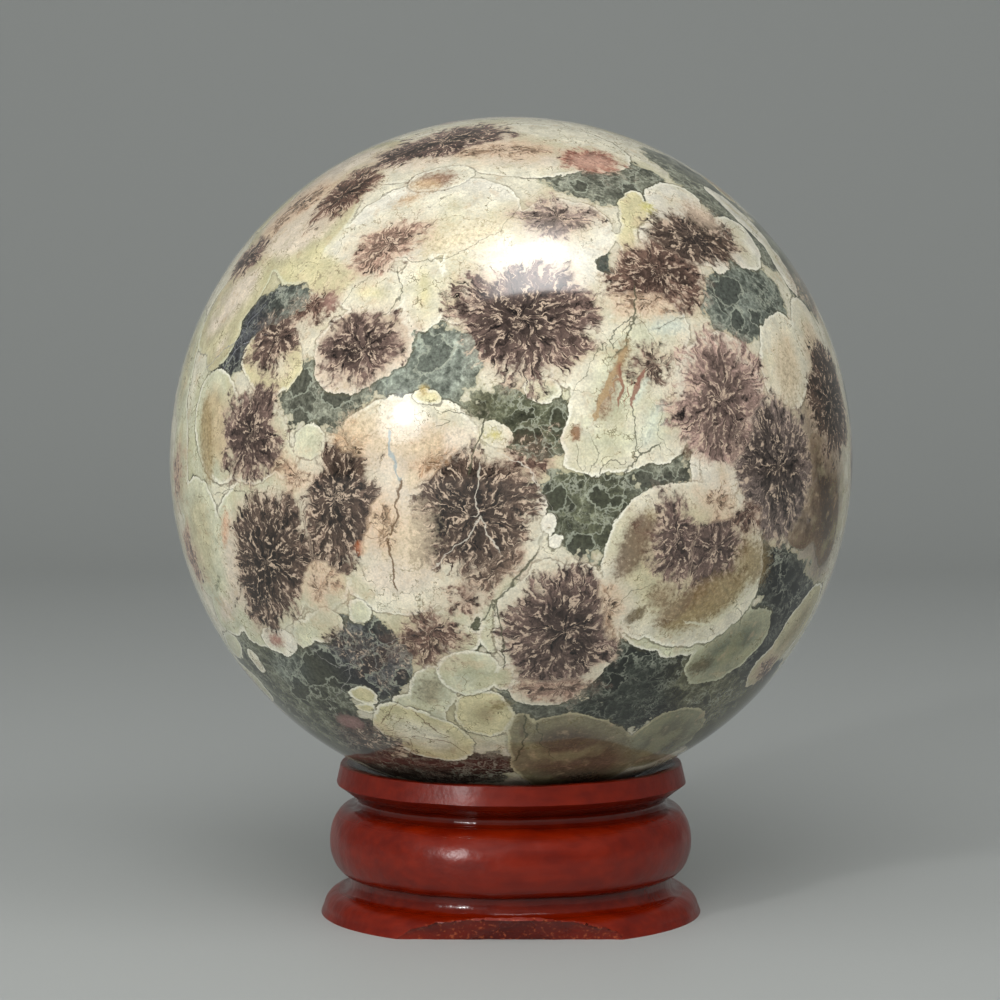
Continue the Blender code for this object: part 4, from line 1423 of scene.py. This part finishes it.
def stand_tree(material):
    """The section turned round the axis, then sawn flat at the front and the back of the foot."""
    inputs = {
        "Bore radius": "NodeSocketFloat", "Steps": "NodeSocketInt",
        "Flat distance": "NodeSocketFloat", "Flat lean": "NodeSocketFloat",
        "Saw ripple": "NodeSocketFloat", "Hand wear": "NodeSocketFloat",
    }
    tree, given, result = shape_tree("turned_ring", inputs)
    section = add(tree, "GeometryNodeMeshToCurve", {"Mesh": given.outputs["Geometry"]})
    circle = add(
        tree, "GeometryNodeCurvePrimitiveCircle",
        {"Resolution": given.outputs["Steps"], "Radius": given.outputs["Bore radius"]},
    )
    turned = add(
        tree, "GeometryNodeCurveToMesh",
        {"Curve": circle.outputs["Curve"], "Profile Curve": section.outputs["Curve"]},
    )
    solid = turned.outputs["Mesh"]
    saws = []
    for side in (-1, 1):
        cube = add(
            tree, "GeometryNodeMeshCube",
            {"Size": SAW_BLOCK, "Vertices X": SAW_CUTS[0], "Vertices Z": SAW_CUTS[1]},
        )
        rough = add(tree, "ShaderNodeTexNoise", {"Scale": RIPPLES_PER_MM / MM, "Detail": 3.0})
        around = add(tree, "ShaderNodeMath", {0: rough, 1: 0.5}, operation="SUBTRACT")
        depth = add(tree, "ShaderNodeMath", {0: around, 1: given.outputs["Saw ripple"]}, operation="MULTIPLY")
        ripple = add(tree, "ShaderNodeCombineXYZ", {"Y": depth})
        block = add(
            tree, "GeometryNodeSetPosition", {"Geometry": cube.outputs["Mesh"], "Offset": ripple},
        )
        lean = add(tree, "ShaderNodeMath", {0: given.outputs["Flat lean"], 1: -side}, operation="MULTIPLY")
        turn = add(tree, "ShaderNodeCombineXYZ", {"X": lean})
        half_block = (0, SAW_BLOCK[1] / 2 * side, 0)
        aside = add(tree, "GeometryNodeTransform", {"Geometry": block, "Translation": half_block})
        leaning = add(tree, "GeometryNodeTransform", {"Geometry": aside, "Rotation": turn})
        out = add(tree, "ShaderNodeMath", {0: given.outputs["Flat distance"], 1: side}, operation="MULTIPLY")
        shift = add(tree, "ShaderNodeCombineXYZ", {"Y": out})
        saws.append(add(tree, "GeometryNodeTransform", {"Geometry": leaning, "Translation": shift}))
    sawn = add(tree, "GeometryNodeMeshBoolean", {0: solid}, operation="DIFFERENCE", solver="EXACT")
    for saw in saws:
        tree.links.new(saw.outputs[0], sawn.inputs[1])
    place = add(tree, "GeometryNodeInputPosition")
    height = add(tree, "ShaderNodeSeparateXYZ", {0: place}).outputs["Z"]
    above_floor = add(
        tree, "ShaderNodeMapRange", {"Value": height, "From Min": 0.0, "From Max": SOLE_EDGE * MM},
    )
    wave = add(tree, "ShaderNodeTexNoise", {"Scale": DIPS_PER_MM / MM, "Detail": 2.0})
    worn_depth = add(tree, "ShaderNodeMath", {0: wave, 1: given.outputs["Hand wear"]}, operation="MULTIPLY")
    inward = add(tree, "ShaderNodeMath", {0: worn_depth, 1: above_floor}, operation="MULTIPLY")
    pull = add(tree, "ShaderNodeMath", {0: inward, 1: -1.0}, operation="MULTIPLY")
    normal = add(tree, "GeometryNodeInputNormal")
    wear = add(tree, "ShaderNodeVectorMath", {0: normal, "Scale": pull}, operation="SCALE")
    worn = add(tree, "GeometryNodeSetPosition", {"Geometry": sawn.outputs["Mesh"], "Offset": wear})
    real = add(tree, "GeometryNodeRealizeInstances", {"Geometry": worn})
    painted = add(tree, "GeometryNodeSetMaterial", {"Geometry": real, "Material": material})
    tree.links.new(painted.outputs[0], result.inputs[0])
    return tree


def make_stand():
    tree = stand_tree(lacquer_material())
    values = {
        "Bore radius": BORE_RADIUS * MM, "Steps": TURNING_STEPS,
        "Flat distance": FLAT_DISTANCE * MM, "Flat lean": FLAT_LEAN,
        "Saw ripple": SAW_RIPPLE * MM, "Hand wear": HAND_WEAR * MM,
    }
    stand = grown("lacquered_ring_stand", tree, section_mesh(), values)
    stand.data.shade_smooth()
    stand.data.set_sharp_from_angle(angle=SHARP_EDGE)
    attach(stand, "root")
    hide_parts("ring_stand")


# The floor and the studio's lights, in metres
FLOOR_FRONT = -1.2
FLOOR_BACK = 0.35
SWEEP_RADIUS = 0.35
SWEEP_STEPS = 24
BACKDROP_HEIGHT = 1.2
FLOOR_HALF_WIDTH = 1.5
STUDIO_GREY = "C6C8C6"
STUDIO_STRENGTH = 0.4


def make_floor():
    """A plain floor that sweeps up into a backdrop behind the object."""
    rows = [(FLOOR_FRONT, 0.0)]
    for step in range(SWEEP_STEPS + 1):
        angle = math.pi / 2 * step / SWEEP_STEPS
        rows.append((FLOOR_BACK + SWEEP_RADIUS * math.sin(angle), SWEEP_RADIUS * (1 - math.cos(angle))))
    rows.append((FLOOR_BACK + SWEEP_RADIUS, BACKDROP_HEIGHT))
    points = [(side * FLOOR_HALF_WIDTH, y, z) for y, z in rows for side in (-1, 1)]
    faces = [(2 * i, 2 * i + 1, 2 * i + 3, 2 * i + 2) for i in range(len(rows) - 1)]
    mesh = bpy.data.meshes.new("floor")
    mesh.from_pydata(points, [], faces)
    mesh.shade_smooth()
    mesh.materials.append(floor_material())
    floor = bpy.data.objects.new("floor", mesh)
    bpy.context.scene.collection.objects.link(floor)


def add_light(name, azimuth, elevation, distance, size, radiance):
    """A round soft light facing the ball. Azimuth is in degrees from the front to the right, and
    radiance in watts per square metre and steradian."""
    light = bpy.data.lights.new(name, "AREA")
    light.shape = "DISK"
    light.size = size
    light.energy = radiance * math.pi * (size / 2) ** 2 * math.pi
    around, up = math.radians(azimuth), math.radians(elevation)
    towards = Vector((math.sin(around) * math.cos(up), -math.cos(around) * math.cos(up), math.sin(up)))
    lamp = bpy.data.objects.new(name, light)
    lamp.location = BALL_CENTRE + towards * distance
    lamp.rotation_euler = (-towards).to_track_quat("-Z", "Y").to_euler()
    bpy.context.scene.collection.objects.link(lamp)
    return lamp


def fade_light(lamp):
    """Lets a window's light fade to its sides and its top, and keeps its lower edge sharp."""
    lamp.data.use_nodes = True
    tree = lamp.data.node_tree
    tree.nodes.clear()
    across = add(tree, "ShaderNodeNewGeometry").outputs["Parametric"]
    parts = add(tree, "ShaderNodeSeparateXYZ", {0: across})
    centred = add(tree, "ShaderNodeMath", {0: parts.outputs["X"], 1: 0.5}, operation="SUBTRACT")
    aside = add(tree, "ShaderNodeMath", {0: centred}, operation="ABSOLUTE")
    sides = add(
        tree, "ShaderNodeMapRange", {"Value": aside, "From Min": 0.5, "From Max": 0.1},
        interpolation_type="SMOOTHSTEP",
    )
    top = add(
        tree, "ShaderNodeMapRange", {"Value": parts.outputs["Y"], "From Min": 1.0, "From Max": 0.45},
        interpolation_type="SMOOTHSTEP",
    )
    strength = add(tree, "ShaderNodeMath", {0: sides, 1: top}, operation="MULTIPLY")
    glow = add(tree, "ShaderNodeEmission", {"Strength": strength})
    add(tree, "ShaderNodeOutputLight", {"Surface": glow})


def light_studio():
    """Three soft lamps that don't show in reflections, a glint with its glow, and the light of a window
    that shows in reflections alone."""
    bpy.context.scene.view_settings.view_transform = "Standard"
    for soft in (
        add_light("key_softbox", azimuth=-3, elevation=36, distance=0.60, size=0.42, radiance=5.1),
        add_light("right_fill", azimuth=50, elevation=32, distance=0.60, size=0.40, radiance=2.4),
        add_light("left_fill", azimuth=-62, elevation=28, distance=0.60, size=0.40, radiance=1.8),
    ):
        soft.visible_glossy = False
    add_light("glint_lamp", azimuth=-35, elevation=15.5, distance=0.55, size=0.034, radiance=220.0)
    add_light("left_glow", azimuth=-36, elevation=14, distance=0.62, size=0.17, radiance=4.5)
    window = add_light("window_above", azimuth=14, elevation=71, distance=0.50, size=0.36, radiance=9.0)
    window.data.shape = "RECTANGLE"
    window.data.size_y = 0.26
    window.visible_diffuse = False
    fade_light(window)
    world = bpy.context.scene.world or bpy.data.worlds.new("studio_air")
    bpy.context.scene.world = world
    world.use_nodes = True
    world.node_tree.nodes.clear()
    tint = {"Color": linear(STUDIO_GREY), "Strength": STUDIO_STRENGTH}
    air = add(world.node_tree, "ShaderNodeBackground", tint)
    add(world.node_tree, "ShaderNodeOutputWorld", {"Surface": air})


def main():
    fill_hidden_side()
    make_ball()
    make_stand()
    make_floor()
    light_studio()


main()
